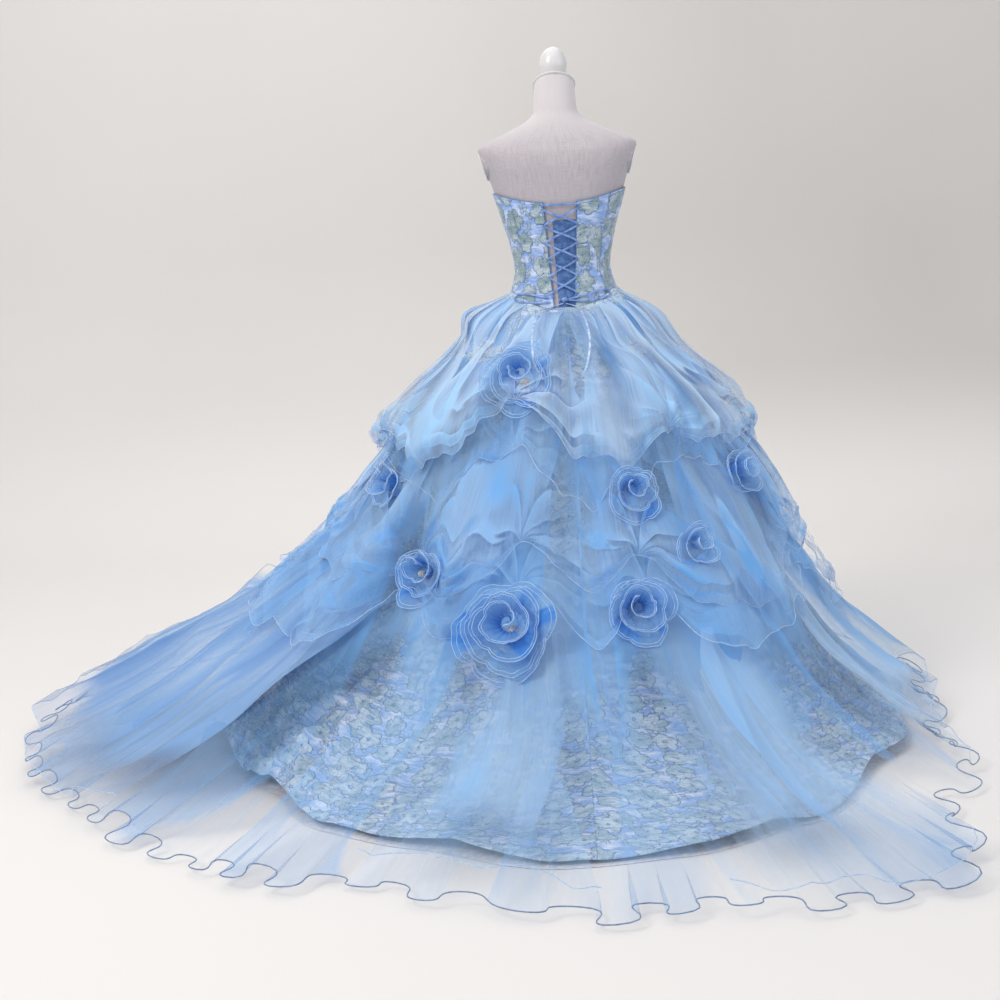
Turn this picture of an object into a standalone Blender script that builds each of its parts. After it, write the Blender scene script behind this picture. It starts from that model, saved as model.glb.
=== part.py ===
"""Strapless ball gown with a long tulle train, worn by a limbless dress form on a pole stand.

Run with: blender --background --python part.py

Units are metres. +Z is up, the gown's front faces -Y and its laced back faces +Y.
The origin is the centre of the stand's underside, on the floor.
Angles round the gown are in degrees from the centre back, positive towards +X.
"""

import math

import bmesh
import bpy
from mathutils import Matrix, Vector
from mathutils.bvhtree import BVHTree

# ---------------------------------------------------------------- driving sizes
SEAM_GAP = 0.0003
CLOTH = 0.0015
NET = 0.0010
BODICE_WALL = 0.0025
BODICE_EASE = 0.0026
MODESTY_EASE = 0.0006
WAIST_EASE = 0.0007
WAIST_GAP = 0.0009
WAIST_LAYER_GAP = 0.0008

KNOB_TOP_Z = 1.640
NECK_TOP_Z = 1.545
TORSO_BOTTOM_Z = 0.82
POLE_RADIUS = 0.014
BASE_RADIUS = 0.17
BASE_HEIGHT = 0.018
SECTION_POWER = 2.25
NECK_SLOPE = 0.54
PLATE_THICKNESS = 0.0055

BODICE_TOP_BACK_Z = 1.262
BODICE_TOP_SIDE_Z = 1.292
BODICE_TOP_BUST_Z = 1.335
BODICE_TOP_FRONT_Z = 1.292
BODICE_HEM_SIDE_Z = 1.048
BODICE_HEM_BACK_Z = 1.004
BODICE_HEM_FRONT_Z = 0.985
BODICE_ROW_Z = (1.06, 1.10, 1.16, 1.22)
BUST_Z = 1.28
BODICE_HEM_FLAT = 0.985
SEAM_ANGLE = 0.11
LACING_GAP_TOP = 0.082
LACING_GAP_HEM = 0.051

SKIRT_COLUMNS = 72
NET_COLUMNS = 72
SKIRT_FOLDS = 12
NET_FOLDS = 18
SKIRT_FOLD_DEPTH = 0.017
NET_FOLD_DEPTH = 0.012
NET_HEM_RUFFLE = 0.026

RIBBON_WIDTH = 0.005
RIBBON_THICKNESS = 0.0012
LACE_CROSSINGS = 5
LACE_TOP_Z = 1.2485
LACE_END_Z = 1.0415
KNOT_Z = 1.0260
LACE_CLEARANCE = 0.0009
LACE_OVER = 0.0030
TAIL_DIAMETER = 0.005

# Cross-sections of the dress form, from its flat underside to the neck.
FORM_COLUMNS = ("z", "half_width", "back", "front")
FORM_SECTIONS = (
    (0.820, 0.150, 0.100, 0.095),
    (0.900, 0.168, 0.122, 0.105),
    (0.980, 0.155, 0.114, 0.100),
    (1.060, 0.1245, 0.092, 0.091),
    (1.100, 0.1145, 0.084, 0.089),
    (1.160, 0.1225, 0.090, 0.098),
    (1.220, 0.139, 0.098, 0.120),
    (1.280, 0.157, 0.105, 0.134),
    (1.340, 0.176, 0.106, 0.118),
    (1.385, 0.194, 0.098, 0.095),
    (1.401, 0.197, 0.088, 0.085),
    (1.416, 0.174, 0.082, 0.080),
    (1.440, 0.122, 0.070, 0.070),
    (1.465, 0.072, 0.060, 0.060),
    (1.485, 0.054, 0.054, 0.054),
    (NECK_TOP_Z, 0.050, 0.050, 0.050),
)

# Profiles of the brocade skirt's inner side below the waist ring: radius and height
# at the centre back, the wearer's left (+X), the centre front and the right (-X).
PROFILE_COLUMNS = ("back_r", "back_z", "left_r", "left_z", "front_r", "front_z", "right_r", "right_z")
SKIRT_PROFILE = (
    (0.200, 0.950, 0.215, 0.970, 0.195, 0.925, 0.210, 0.968),
    (0.305, 0.825, 0.302, 0.845, 0.280, 0.848, 0.290, 0.843),
    (0.395, 0.675, 0.370, 0.700, 0.336, 0.700, 0.348, 0.692),
    (0.475, 0.525, 0.420, 0.570, 0.384, 0.568, 0.394, 0.570),
    (0.560, 0.380, 0.480, 0.430, 0.432, 0.428, 0.446, 0.435),
    (0.680, 0.225, 0.570, 0.280, 0.492, 0.280, 0.520, 0.275),
    (0.840, 0.088, 0.685, 0.140, 0.556, 0.140, 0.625, 0.135),
    (1.030, 0.022, 0.805, 0.040, 0.614, 0.052, 0.720, 0.042),
    (1.215, 0.000, 0.905, 0.000, 0.660, 0.000, 0.775, 0.000),
)
# The same for the long tulle layer, which lies outside the brocade and runs past it.
NET_PROFILE = (
    (0.238, 0.965, 0.245, 0.985, 0.228, 0.945, 0.242, 0.983),
    (0.310, 0.890, 0.312, 0.905, 0.286, 0.885, 0.298, 0.903),
    (0.378, 0.798, 0.368, 0.815, 0.342, 0.815, 0.348, 0.812),
    (0.448, 0.680, 0.424, 0.700, 0.386, 0.702, 0.390, 0.695),
    (0.518, 0.560, 0.462, 0.605, 0.428, 0.592, 0.428, 0.602),
    (0.592, 0.440, 0.530, 0.505, 0.472, 0.472, 0.474, 0.492),
    (0.678, 0.325, 0.655, 0.400, 0.522, 0.348, 0.530, 0.362),
    (0.808, 0.208, 0.840, 0.285, 0.572, 0.230, 0.612, 0.220),
    (1.000, 0.105, 1.040, 0.180, 0.626, 0.142, 0.712, 0.125),
    (1.260, 0.045, 1.235, 0.085, 0.684, 0.068, 0.795, 0.050),
    (1.500, 0.000, 1.385, 0.000, 0.740, 0.000, 0.845, 0.000),
)
# Where each hem runs on the floor: angle and radius.
SKIRT_HEM = (
    (-180, 0.66), (-135, 0.70), (-95, 0.76), (-75, 0.80), (-44, 0.93), (-22, 1.12),
    (-8, 1.20), (3, 1.22), (18, 1.14), (30, 1.10), (46, 0.99), (73, 0.92), (110, 0.84), (145, 0.71),
)
NET_HEM = (
    (-180, 0.74), (-140, 0.79), (-102, 0.83), (-80, 0.85), (-62, 0.92), (-38, 1.20),
    (-24, 1.55), (-15, 1.54), (-8, 1.50), (0, 1.50), (11, 1.43), (19, 1.36), (26, 1.42), (36, 1.40),
    (52, 1.36), (66, 1.38), (80, 1.39), (96, 1.32), (116, 1.12), (140, 0.90),
)

# Overskirt tiers: where each runs down the net's rows, and how far it stands off at each step.
TIER_COLUMNS = ("row", "stand_off", "puff")
UPPER_TIER = (
    (0.00, 0.0018, 0.000), (1.00, 0.0080, 0.014), (2.60, 0.0190, 0.026),
    (3.95, 0.0300, 0.022), (4.25, 0.0250, 0.004),
)
MIDDLE_TIER = (
    (3.00, 0.0014, 0.000), (4.20, 0.0060, 0.010), (5.60, 0.0170, 0.022),
    (6.75, 0.0210, 0.020), (7.05, 0.0160, 0.004),
)
# Where the tiers are caught up under a rosette: angle, lift in rows and half-width in degrees.
UPPER_PICKUPS = ((17, 0.55, 20), (-28, 0.25, 16), (-72, 0.35, 20), (68, 0.30, 18), (150, 0.35, 24), (-140, 0.35, 24))
MIDDLE_PICKUPS = ((12, 0.75, 16), (-12, 0.70, 12), (36, 0.60, 14), (84, 0.30, 16), (-58, 0.35, 16), (-100, 0.45, 20), (150, 0.4, 24))

# Gathered tulle widths laid over the long layer: first and last angle, first row, last row.
OVERLAY_COLUMNS = ("name", "from_deg", "to_deg", "from_row", "to_row")
OVERLAYS = (
    ("tulle_overlay_left", 52, 108, 6, 11),
    ("tulle_overlay_centre", -3, 22, 6, 10.6),
    ("tulle_overlay_right", -33, -8, 6, 11),
    ("tulle_overlay_side_right", -96, -41, 6, 10.7),
)

# Rosettes: angle and height of the centre, outer radius, turns of the wired strip, what it sits on.
ROSETTE_COLUMNS = ("name", "angle", "z", "radius", "turns", "support")
ROSETTES = (
    ("rosette_upper", 14.5, 0.845, 0.098, 2.5, "tulle_tier_upper"),
    ("rosette_centre", 12, 0.330, 0.125, 2.8, "tulle_overlay_centre"),
    ("rosette_right", -9.5, 0.345, 0.088, 2.3, "tulle_overlay_right"),
    ("rosette_left", 33, 0.440, 0.074, 2.0, "tulle_tier_middle"),
    ("rosette_middle", -13, 0.600, 0.070, 2.0, "tulle_tier_middle"),
    ("rosette_side_right", -25, 0.478, 0.060, 1.8, "tulle_tier_middle"),
    ("rosette_far_left", 57, 0.610, 0.062, 1.8, "tulle_tier_middle"),
    ("rosette_far_right", -50, 0.605, 0.066, 1.8, "tulle_tier_middle"),
)
ROSETTE_STEPS_PER_TURN = 13
ROSETTE_SEAT_GAP = 0.0005
ROSETTE_TILT = 0.35
ROSETTE_RUN = 0.16
ROSETTE_HEARTS = ("rosette_upper", "rosette_centre", "rosette_left", "rosette_side_right")

KNOT_SIZE = (0.0085, 0.0055, 0.0065)
BOW_LOOP_HEIGHT = 0.020
BOW_CLEARANCE = 0.0040
# The lacing's free ends, from the knot down over the upper tier.
TAILS = (
    ("lacing_tail_left", (
        (0.0035, 0.1094, 1.0176), (0.034, 0.1160, 1.011), (0.053, 0.135, 1.0075), (0.066, 0.187, 1.001),
        (0.077, 0.262, 0.977), (0.081, 0.325, 0.965), (0.082, 0.400, 0.954), (0.082, 0.444, 0.931),
        (0.080, 0.447, 0.904), (0.070, 0.440, 0.880),
    )),
    ("lacing_tail_right", (
        (-0.0035, 0.1094, 1.0170), (-0.026, 0.1175, 1.010), (-0.035, 0.165, 1.004), (-0.042, 0.229, 0.994),
        (-0.051, 0.296, 0.961), (-0.051, 0.336, 0.925), (-0.042, 0.371, 0.888), (-0.029, 0.397, 0.862),
    )),
)

# Panels of the bodice and the angles of their columns, which share the skirt's 5 degree grid.
BODICE_PANELS = (
    ("bodice_side_back_left", (50, 60, 70, 80, 90)),
    ("bodice_side_front_left", (90, 100, 110, 120, 135, 145)),
    ("bodice_front", (145, 155, 165, 180, 195, 205, 215)),
    ("bodice_side_front_right", (215, 225, 240, 250, 260, 270)),
    ("bodice_side_back_right", (270, 280, 290, 300, 310)),
)
BACK_PANEL_EDGE = 50
BACK_PANEL_SHARES = (0, 0.284, 0.523, 0.761, 1)
# Gores of the brocade skirt: name, first and last column of the 72 round it.
SKIRT_GORES = (
    ("skirt_back_left", 0, 15),
    ("skirt_side_left", 15, 29),
    ("skirt_front", 29, 43),
    ("skirt_side_right", 43, 57),
    ("skirt_back_right", 57, 72),
)

# Widths of the long tulle layer: name, first and last column of the 72 round it.
TRAIN_GORES = (
    ("tulle_train_back", -5, 5),
    ("tulle_train_back_left", 5, 15),
    ("tulle_train_side_left", 15, 25),
    ("tulle_train_front", 25, 47),
    ("tulle_train_side_right", 47, 58),
    ("tulle_train_back_right", 58, 67),
)

BROCADE = ("blue_floral_brocade", "A9BEDF", 0.42)
SATIN = ("deep_blue_satin", "5C86C4", 0.35)
RIBBON = ("sky_satin_ribbon", "7FA9E0", 0.38)
TULLE = ("sky_blue_tulle", "93BEEB", 0.75)
LINEN = ("grey_linen_cover", "CFC9CE", 0.85)
LACQUER = ("white_lacquer", "F0F0F0", 0.25)
STEEL = ("white_painted_steel", "E4E4E4", 0.4)


# ---------------------------------------------------------------- helpers
def clear_scene():
    """Remove every object of the scene."""
    for thing in list(bpy.data.objects):
        bpy.data.objects.remove(thing)


def material(finish):
    """The Principled material of a finish (name, sRGB hex, roughness), made once."""
    name, hex_colour, roughness = finish
    made = bpy.data.materials.get(name)
    if made is None:
        made = bpy.data.materials.new(name)
        made.use_nodes = True
        shader = made.node_tree.nodes["Principled BSDF"]
        channels = [int(hex_colour[i : i + 2], 16) / 255 for i in (0, 2, 4)]
        linear = [c / 12.92 if c <= 0.04045 else ((c + 0.055) / 1.055) ** 2.4 for c in channels]
        shader.inputs["Base Color"].default_value = (*linear, 1)
        shader.inputs["Roughness"].default_value = roughness
    return made


def add_mesh(name, points, faces, finish, smooth=True):
    """A mesh object of these points and faces, its normals pointing out."""
    mesh = bpy.data.meshes.new(name)
    mesh.from_pydata([tuple(p) for p in points], [], faces)
    built = bmesh.new()
    built.from_mesh(mesh)
    bmesh.ops.recalc_face_normals(built, faces=built.faces)
    if built.calc_volume(signed=True) < 0:
        bmesh.ops.reverse_faces(built, faces=built.faces)
    built.to_mesh(mesh)
    built.free()
    if smooth:
        mesh.shade_smooth()
        mesh.set_sharp_from_angle(angle=math.radians(50))
    mesh.materials.append(material(finish))
    made = bpy.data.objects.new(name, mesh)
    bpy.context.scene.collection.objects.link(made)
    return made


def wall(name, inner, outer, finish, closed):
    """A cloth wall between two grids of rows of points; closed grids run all the way round."""
    rows, columns = len(inner), len(inner[0])
    points = [p for row in inner for p in row] + [p for row in outer for p in row]
    far = rows * columns
    steps = columns if closed else columns - 1
    faces = []
    for i in range(rows - 1):
        for j in range(steps):
            k = (j + 1) % columns
            a, b, c, d = i * columns + j, i * columns + k, (i + 1) * columns + k, (i + 1) * columns + j
            # Both sides are split along the same diagonal, so the wall stays parallel where it curves.
            faces += [(a, b, c), (a, c, d), (c + far, b + far, a + far), (d + far, c + far, a + far)]
    for j in range(steps):
        k = (j + 1) % columns
        last = (rows - 1) * columns
        faces += [(j, j + far, k + far, k), (last + k, last + k + far, last + j + far, last + j)]
    if not closed:
        for i in range(rows - 1):
            a, d = i * columns, (i + 1) * columns
            faces += [(a, d, d + far, a + far)]
            a, d = a + columns - 1, d + columns - 1
            faces += [(a, a + far, d + far, d)]
    return add_mesh(name, points, faces, finish)


def smooth_step(t):
    """0 below 0, 1 above 1, with a smooth rise between."""
    t = min(1.0, max(0.0, t))
    return t * t * (3 - 2 * t)


def table_at(rows, x):
    """The values of a table at x in its first column, on straight lines between rows."""
    for low, high in zip(rows, rows[1:]):
        if x <= high[0]:
            break
    t = min(1.0, max(0.0, (x - low[0]) / (high[0] - low[0])))
    return [a + (b - a) * t for a, b in zip(low[1:], high[1:])]


def round_table_at(rows, degrees):
    """The value of an (angle, value) table at an angle, eased between rows and closed round the circle."""
    x = (degrees - rows[0][0]) % 360 + rows[0][0]
    looped = list(rows) + [(rows[0][0] + 360, rows[0][1])]
    for low, high in zip(looped, looped[1:]):
        if x <= high[0]:
            break
    return low[1] + (high[1] - low[1]) * smooth_step((x - low[0]) / (high[0] - low[0]))


# ---------------------------------------------------------------- dress form and bodice shapes
def form_point(degrees, z, off=0.0):
    """A point on the dress form's skin at an angle from the centre back, moved out by off."""
    half_width, back, front = table_at(FORM_SECTIONS, z)
    turn = math.radians(degrees)
    c, s = math.cos(turn), math.sin(turn)
    depth = back if c > 0 else front
    power = 2 / SECTION_POWER
    x = half_width * math.copysign(abs(s) ** power, s)
    y = depth * math.copysign(abs(c) ** power, c)
    away = Vector((x / half_width**2, y / depth**2, 0)).normalized()
    return Vector((x, y, z)) + away * off


def bodice_hem_z(degrees):
    """Height of the bodice's lower edge: dipped at the centre back and front."""
    c = abs(math.cos(math.radians(degrees)))
    dip = BODICE_HEM_BACK_Z if math.cos(math.radians(degrees)) > 0 else BODICE_HEM_FRONT_Z
    return BODICE_HEM_SIDE_Z + (dip - BODICE_HEM_SIDE_Z) * min(1.0, c / BODICE_HEM_FLAT) ** 3


def bodice_top_z(degrees):
    """Height of the bodice's upper edge: low at the back, two peaks over the bust, a dip between."""
    c = math.cos(math.radians(degrees))
    if c > 0:
        return BODICE_TOP_SIDE_Z + (BODICE_TOP_BACK_Z - BODICE_TOP_SIDE_Z) * c**2
    peak = math.exp(-(((abs((degrees % 360) - 180) - 32) / 20) ** 2))
    return BODICE_TOP_SIDE_Z + (BODICE_TOP_FRONT_Z - BODICE_TOP_SIDE_Z) * c**4 + (
        BODICE_TOP_BUST_Z - BODICE_TOP_SIDE_Z
    ) * peak


def opening_edge(z):
    """Angle from the centre back of the lacing opening's edge at a height."""
    share = (z - BODICE_HEM_BACK_Z) / (BODICE_TOP_BACK_Z - BODICE_HEM_BACK_Z)
    half = (LACING_GAP_HEM + (LACING_GAP_TOP - LACING_GAP_HEM) * share) / 2
    low, high = 0.0, 60.0
    for _ in range(30):
        middle = (low + high) / 2
        if form_point(middle, z, BODICE_EASE).x < half:
            low = middle
        else:
            high = middle
    return high


def panel_angles(columns):
    """A panel's column angles, drawn in at both seams."""
    return [columns[0] + SEAM_ANGLE, *columns[1:-1], columns[-1] - SEAM_ANGLE]


def back_panel_angles(z):
    """Angles of the five columns of the left back panel at a height."""
    edge, far = opening_edge(z), BACK_PANEL_EDGE - SEAM_ANGLE
    return [edge + (far - edge) * share for share in BACK_PANEL_SHARES]


def waist_angles():
    """Every angle round the waist at which the bodice's hem has a corner."""
    back = back_panel_angles(BODICE_HEM_BACK_Z)
    panels = [a for _, columns in BODICE_PANELS for a in panel_angles(columns)]
    return [*back, *panels, *(360 - a for a in reversed(back)), back[0] + 360]


def waist_z(degrees):
    """Height just below the bodice's hem, straight between the hem's corners."""
    corners = waist_angles()
    x = (degrees - corners[0]) % 360 + corners[0]
    for low, high in zip(corners, corners[1:]):
        if x <= high:
            break
    t = (x - low) / (high - low)
    return bodice_hem_z(low) * (1 - t) + bodice_hem_z(high) * t - WAIST_GAP


# ---------------------------------------------------------------- skirt and tulle shapes
def profile_at(rows, row, degrees, hem):
    """(radius, height) of a skirt profile at a whole row and an angle, reaching the hem outline."""
    back_r, back_z, left_r, left_z, front_r, front_z, right_r, right_z = rows[row]
    turn = math.radians(degrees)
    c, s = math.cos(turn), math.sin(turn)
    side_r, side_z = (left_r, left_z) if s > 0 else (right_r, right_z)
    end_r, end_z = (back_r, back_z) if c > 0 else (front_r, front_z)
    radius = end_r * c * c + side_r * s * s
    last = rows[-1]
    hem_r = (last[0] if c > 0 else last[4]) * c * c + (last[2] if s > 0 else last[6]) * s * s
    reach = round_table_at(hem, degrees) / hem_r - 1
    return radius * (1 + reach * ((row + 1) / len(rows)) ** 4), end_z * c * c + side_z * s * s


def skirt_base(rows, hem, row, degrees, waist_off):
    """A point of a skirt's smooth inner side; row 0 hugs the form just below the bodice."""
    if row == 0:
        return form_point(degrees, waist_z(degrees), waist_off)
    radius, z = profile_at(rows, row - 1, degrees, hem)
    turn = math.radians(degrees)
    return Vector((radius * math.sin(turn), radius * math.cos(turn), z))


def outward(rows, hem, row, degrees):
    """The direction out of a skirt's slope at a row, in the upright plane of the angle."""
    count = len(rows)
    above = skirt_base(rows, hem, max(row - 1, 0), degrees, 0)
    below = skirt_base(rows, hem, min(row + 1, count), degrees, 0)
    turn = math.radians(degrees)
    radial = Vector((math.sin(turn), math.cos(turn), 0))
    run, drop = (below - above).dot(radial), above.z - below.z
    return (radial * drop + Vector((0, 0, 1)) * run).normalized()


def skirt_fold(row, degrees):
    """Depth of the brocade's soft folds, none at the waist."""
    phase = math.radians(SKIRT_FOLDS * degrees + 25 * math.sin(math.radians(3 * degrees)))
    return SKIRT_FOLD_DEPTH * smooth_step((row - 0.5) / 5) * (1 - math.cos(phase)) / 2


def net_fold(row, degrees):
    """Depth of the long tulle layer's folds; they grow into the hem's ruffle."""
    phase = math.radians(NET_FOLDS * degrees + 30 * math.sin(math.radians(2 * degrees)))
    depth = NET_FOLD_DEPTH * smooth_step((row - 0.5) / 3)
    depth += (NET_HEM_RUFFLE - NET_FOLD_DEPTH) * smooth_step((row - 9) / 2)
    return depth * (1 - math.cos(phase)) / 2


def skirt_point(row, degrees, off):
    """A point of the brocade skirt, off metres out of its inner side."""
    base = skirt_base(SKIRT_PROFILE, SKIRT_HEM, row, degrees, WAIST_EASE)
    lean = outward(SKIRT_PROFILE, SKIRT_HEM, row, degrees)
    if row == 0:
        return base + (form_point(degrees, base.z, 1) - form_point(degrees, base.z)) * off
    return base + lean * (off + skirt_fold(row, degrees))


def net_point(row, degrees, off):
    """A point of the long tulle layer at any row, off metres out of its inner side."""
    low = min(int(row), len(NET_PROFILE) - 1)
    ends = []
    for whole in (low, low + 1):
        base = skirt_base(NET_PROFILE, NET_HEM, whole, degrees, WAIST_EASE + CLOTH + WAIST_LAYER_GAP)
        if whole == 0:
            lean = form_point(degrees, base.z, 1) - form_point(degrees, base.z)
        else:
            lean = outward(NET_PROFILE, NET_HEM, whole, degrees)
        ends.append(base + lean * (off + net_fold(whole, degrees)))
    return ends[0].lerp(ends[1], row - low)


def pickup_lift(pickups, degrees):
    """How many rows a tier's hem is caught up at an angle."""
    lift = 0.0
    for angle, rise, half_width in pickups:
        away = abs((degrees - angle + 180) % 360 - 180)
        lift += rise * (1 - smooth_step(away / half_width))
    return lift


def tier_grids(steps, pickups):
    """Inner and outer points of a puffed tier, gathered at the top and turned under at the hem."""
    inner, outer = [], []
    first, last = steps[0][0], steps[-1][0]
    for row, stand_off, puff in steps:
        share = (row - first) / (last - first)
        inner_row, outer_row = [], []
        for j in range(NET_COLUMNS):
            degrees = 360 * j / NET_COLUMNS
            lift = pickup_lift(pickups, degrees)
            at = row - lift * share**1.5
            gather = (1 - math.cos(math.radians(NET_FOLDS * degrees + 140))) / 2
            swell = puff * (0.55 + 0.45 * gather) * (1 - 0.45 * min(1.0, lift))
            off = stand_off + swell
            inner_row.append(net_point(at, degrees, off))
            outer_row.append(net_point(at, degrees, off + NET))
        inner.append(inner_row)
        outer.append(outer_row)
    return inner, outer


# ---------------------------------------------------------------- the dress form
def ring(centre, radius, sides, tilt=0.0):
    """Points of a circle; tilt raises its back edge."""
    x, y, z = centre
    points = []
    for i in range(sides):
        turn = 2 * math.pi * i / sides
        points.append(Vector((x + radius * math.sin(turn), y + radius * math.cos(turn), z + tilt * math.cos(turn))))
    return points


def lathe(name, rings, finish):
    """A closed solid through rings of points, with flat fans over both ends."""
    count = len(rings[0])
    points = [p for one in rings for p in one]
    faces = []
    for i in range(len(rings) - 1):
        for j in range(count):
            k = (j + 1) % count
            faces.append((i * count + j, i * count + k, (i + 1) * count + k, (i + 1) * count + j))
    for one, start in ((rings[0], 0), (rings[-1], (len(rings) - 1) * count)):
        middle = len(points)
        points.append(sum(one, Vector()) / count)
        faces += [(start + j, start + (j + 1) % count, middle) for j in range(count)]
    return add_mesh(name, points, faces, finish)


def build_form():
    """Torso, neck collar, finial, pole and round foot."""
    sides = 24
    rings = []
    for section in FORM_SECTIONS:
        rings.append([form_point(360 * j / sides, section[0]) for j in range(sides)])
    # The neck is cut on a slant, higher at the back, and its plate and finial follow the cut.
    rings[-1] = [p + Vector((0, 0, NECK_SLOPE * p.y)) for p in rings[-1]]
    lathe("form_torso", rings, LINEN)

    under = NECK_TOP_Z + SEAM_GAP * 1.3
    plate = []
    for radius, up in ((0.050, 0.0), (0.0525, 0.0015), (0.0525, PLATE_THICKNESS - 0.002), (0.049, PLATE_THICKNESS)):
        plate.append(ring((0, 0, under + up), radius, 24, NECK_SLOPE * radius))
    lathe("form_neck_plate", plate, LACQUER)

    start = under + PLATE_THICKNESS + SEAM_GAP * 1.3
    knob = [ring((0, 0, start), 0.0315, 20, NECK_SLOPE * 0.0315)]
    for radius, below_top in (
        (0.0333, 0.060), (0.0340, 0.046), (0.0318, 0.029), (0.0250, 0.014), (0.0140, 0.0045), (0.004, 0.0),
    ):
        knob.append(ring((0, 0, KNOB_TOP_Z - below_top), radius, 20))
    lathe("form_finial", knob, LACQUER)

    pole_foot = BASE_HEIGHT + SEAM_GAP
    pole_head = TORSO_BOTTOM_Z - SEAM_GAP
    lathe("form_pole", [ring((0, 0, z), POLE_RADIUS, 16) for z in (pole_foot, pole_head)], STEEL)
    base = []
    for radius, z in ((BASE_RADIUS - 0.004, 0.0), (BASE_RADIUS, 0.004), (BASE_RADIUS - 0.004, 0.012), (0.05, BASE_HEIGHT)):
        base.append(ring((0, 0, z), radius, 32))
    lathe("form_foot", base, STEEL)


# ---------------------------------------------------------------- the bodice and its lacing
def bodice_rows(degrees):
    """Heights of the bodice's rows at an angle; the inner ones fall on the form's own sections."""
    top = bodice_top_z(degrees)
    return [bodice_hem_z(degrees), *BODICE_ROW_Z, min(BUST_Z, BODICE_ROW_Z[-1] * 0.15 + top * 0.85), top]


def bodice_panel(name, angles):
    """One panel of the bodice; angles gives the columns' angles at a height."""
    inner, outer = [], []
    for i in range(len(BODICE_ROW_Z) + 3):
        level = bodice_rows(angles(BODICE_ROW_Z[0])[0])[i]
        row = [(degrees, bodice_rows(degrees)[i]) for degrees in angles(level)]
        inner.append([form_point(degrees, z, BODICE_EASE) for degrees, z in row])
        outer.append([form_point(degrees, z, BODICE_EASE + BODICE_WALL) for degrees, z in row])
    return wall(name, inner, outer, BROCADE, closed=False)


def build_bodice():
    """Seven panels, the modesty panel behind the lacing and the crossing ribbon."""
    for name, columns in BODICE_PANELS:
        bodice_panel(name, lambda z, columns=columns: panel_angles(columns))
    for side, name in ((1, "bodice_back_left"), (-1, "bodice_back_right")):
        bodice_panel(name, lambda z, side=side: [side * a for a in back_panel_angles(z)])

    inner, outer = [], []
    for z in (BODICE_HEM_BACK_Z + 0.012, *BODICE_ROW_Z):
        half = opening_edge(z)
        angles = [-(half + 4) + (2 * half + 5) * j / 6 for j in range(7)]
        inner.append([form_point(a, z, MODESTY_EASE) for a in angles])
        outer.append([form_point(a, z, MODESTY_EASE + NET) for a in angles])
    wall("modesty_panel", inner, outer, SATIN, closed=False)
    for side, name in ((1, "lacing_left"), (-1, "lacing_right")):
        ribbon(name, *lacing_route(side))
    ribbon("lacing_top", *lacing_bar())


def lacing_step_z(step):
    """Height of a lacing step, from the top edge down."""
    return LACE_TOP_Z + (LACE_END_Z - LACE_TOP_Z) * step / LACE_CROSSINGS


def lacing_route(side):
    """A ribbon's zigzag from edge to edge, over or under the other ribbon at each crossing."""
    lift = BODICE_EASE + BODICE_WALL + RIBBON_THICKNESS / 2 + LACE_CLEARANCE
    places = []
    for step in range(LACE_CROSSINGS):
        here = side if step % 2 == 0 else -side
        over = 1 if (step % 2 == 0) == (side > 0) else 0
        z, z_next = lacing_step_z(step), lacing_step_z(step + 1)
        start, end = here * (opening_edge(z) + 2.5), -here * (opening_edge(z_next) + 2.5)
        for share in (0, 0.25, 0.5, 0.75):
            rise = LACE_OVER * over * math.sin(math.pi * share)
            places.append((start + (end - start) * share, z + (z_next - z) * share, lift + rise))
    places.append((end, z_next, lift))
    places.append((math.copysign(8.5, end), KNOT_Z + 0.007, lift))
    route = [form_point(*place) for place in places]
    normals = [(form_point(a, z, 1) - form_point(a, z)).normalized() for a, z, _ in places]
    return route, normals


def lacing_bar():
    """The ribbon's level run across the top of the opening."""
    lift = BODICE_EASE + BODICE_WALL + RIBBON_THICKNESS / 2 + LACE_CLEARANCE
    z = LACE_TOP_Z + 0.0085
    edge = opening_edge(z) + 2.5
    angles = [-edge + 2 * edge * i / 6 for i in range(7)]
    normals = [(form_point(a, z, 1) - form_point(a, z)).normalized() for a in angles]
    return [form_point(a, z, lift) for a in angles], normals


def ribbon(name, route, normals, width=RIBBON_WIDTH, thickness=RIBBON_THICKNESS, finish=RIBBON):
    """A flat ribbon along a route, its flat side facing the normals."""
    points, faces = [], []
    last = len(route) - 1
    for i, (at, normal) in enumerate(zip(route, normals)):
        ahead = (route[min(i + 1, last)] - route[max(i - 1, 0)]).normalized()
        across = ahead.cross(normal).normalized()
        up = across.cross(ahead).normalized()
        for u, v in ((-1, -1), (1, -1), (1, 1), (-1, 1)):
            points.append(at + across * (u * width / 2) + up * (v * thickness / 2))
    for i in range(last):
        for j in range(4):
            k = (j + 1) % 4
            faces.append((4 * i + j, 4 * i + k, 4 * i + 4 + k, 4 * i + 4 + j))
    faces += [(0, 1, 2, 3), (4 * last, 4 * last + 1, 4 * last + 2, 4 * last + 3)]
    return add_mesh(name, points, faces, finish, smooth=False)


# ---------------------------------------------------------------- skirt, tulle and rosettes
def gore(name, first, last, columns, rows, place, thickness, finish):
    """One width of a skirt between two of its columns, drawn in at both seams."""
    inner, outer = [], []
    for row in range(rows):
        angles = [360 * column / columns for column in range(first, last + 1)]
        for end, inward in ((0, 1), (-1, -1)):
            reach = max(0.1, place(row, angles[end], 0).xy.length)
            angles[end] += inward * math.degrees(SEAM_GAP * 0.8 / reach)
        inner.append([place(row, a, 0) for a in angles])
        outer.append([place(row, a, thickness) for a in angles])
    return wall(name, inner, outer, finish, closed=False)


def build_skirt():
    """Five gores of brocade, a seam gap apart."""
    for name, first, last in SKIRT_GORES:
        gore(name, first, last, SKIRT_COLUMNS, len(SKIRT_PROFILE) + 1, skirt_point, CLOTH, BROCADE)


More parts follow.
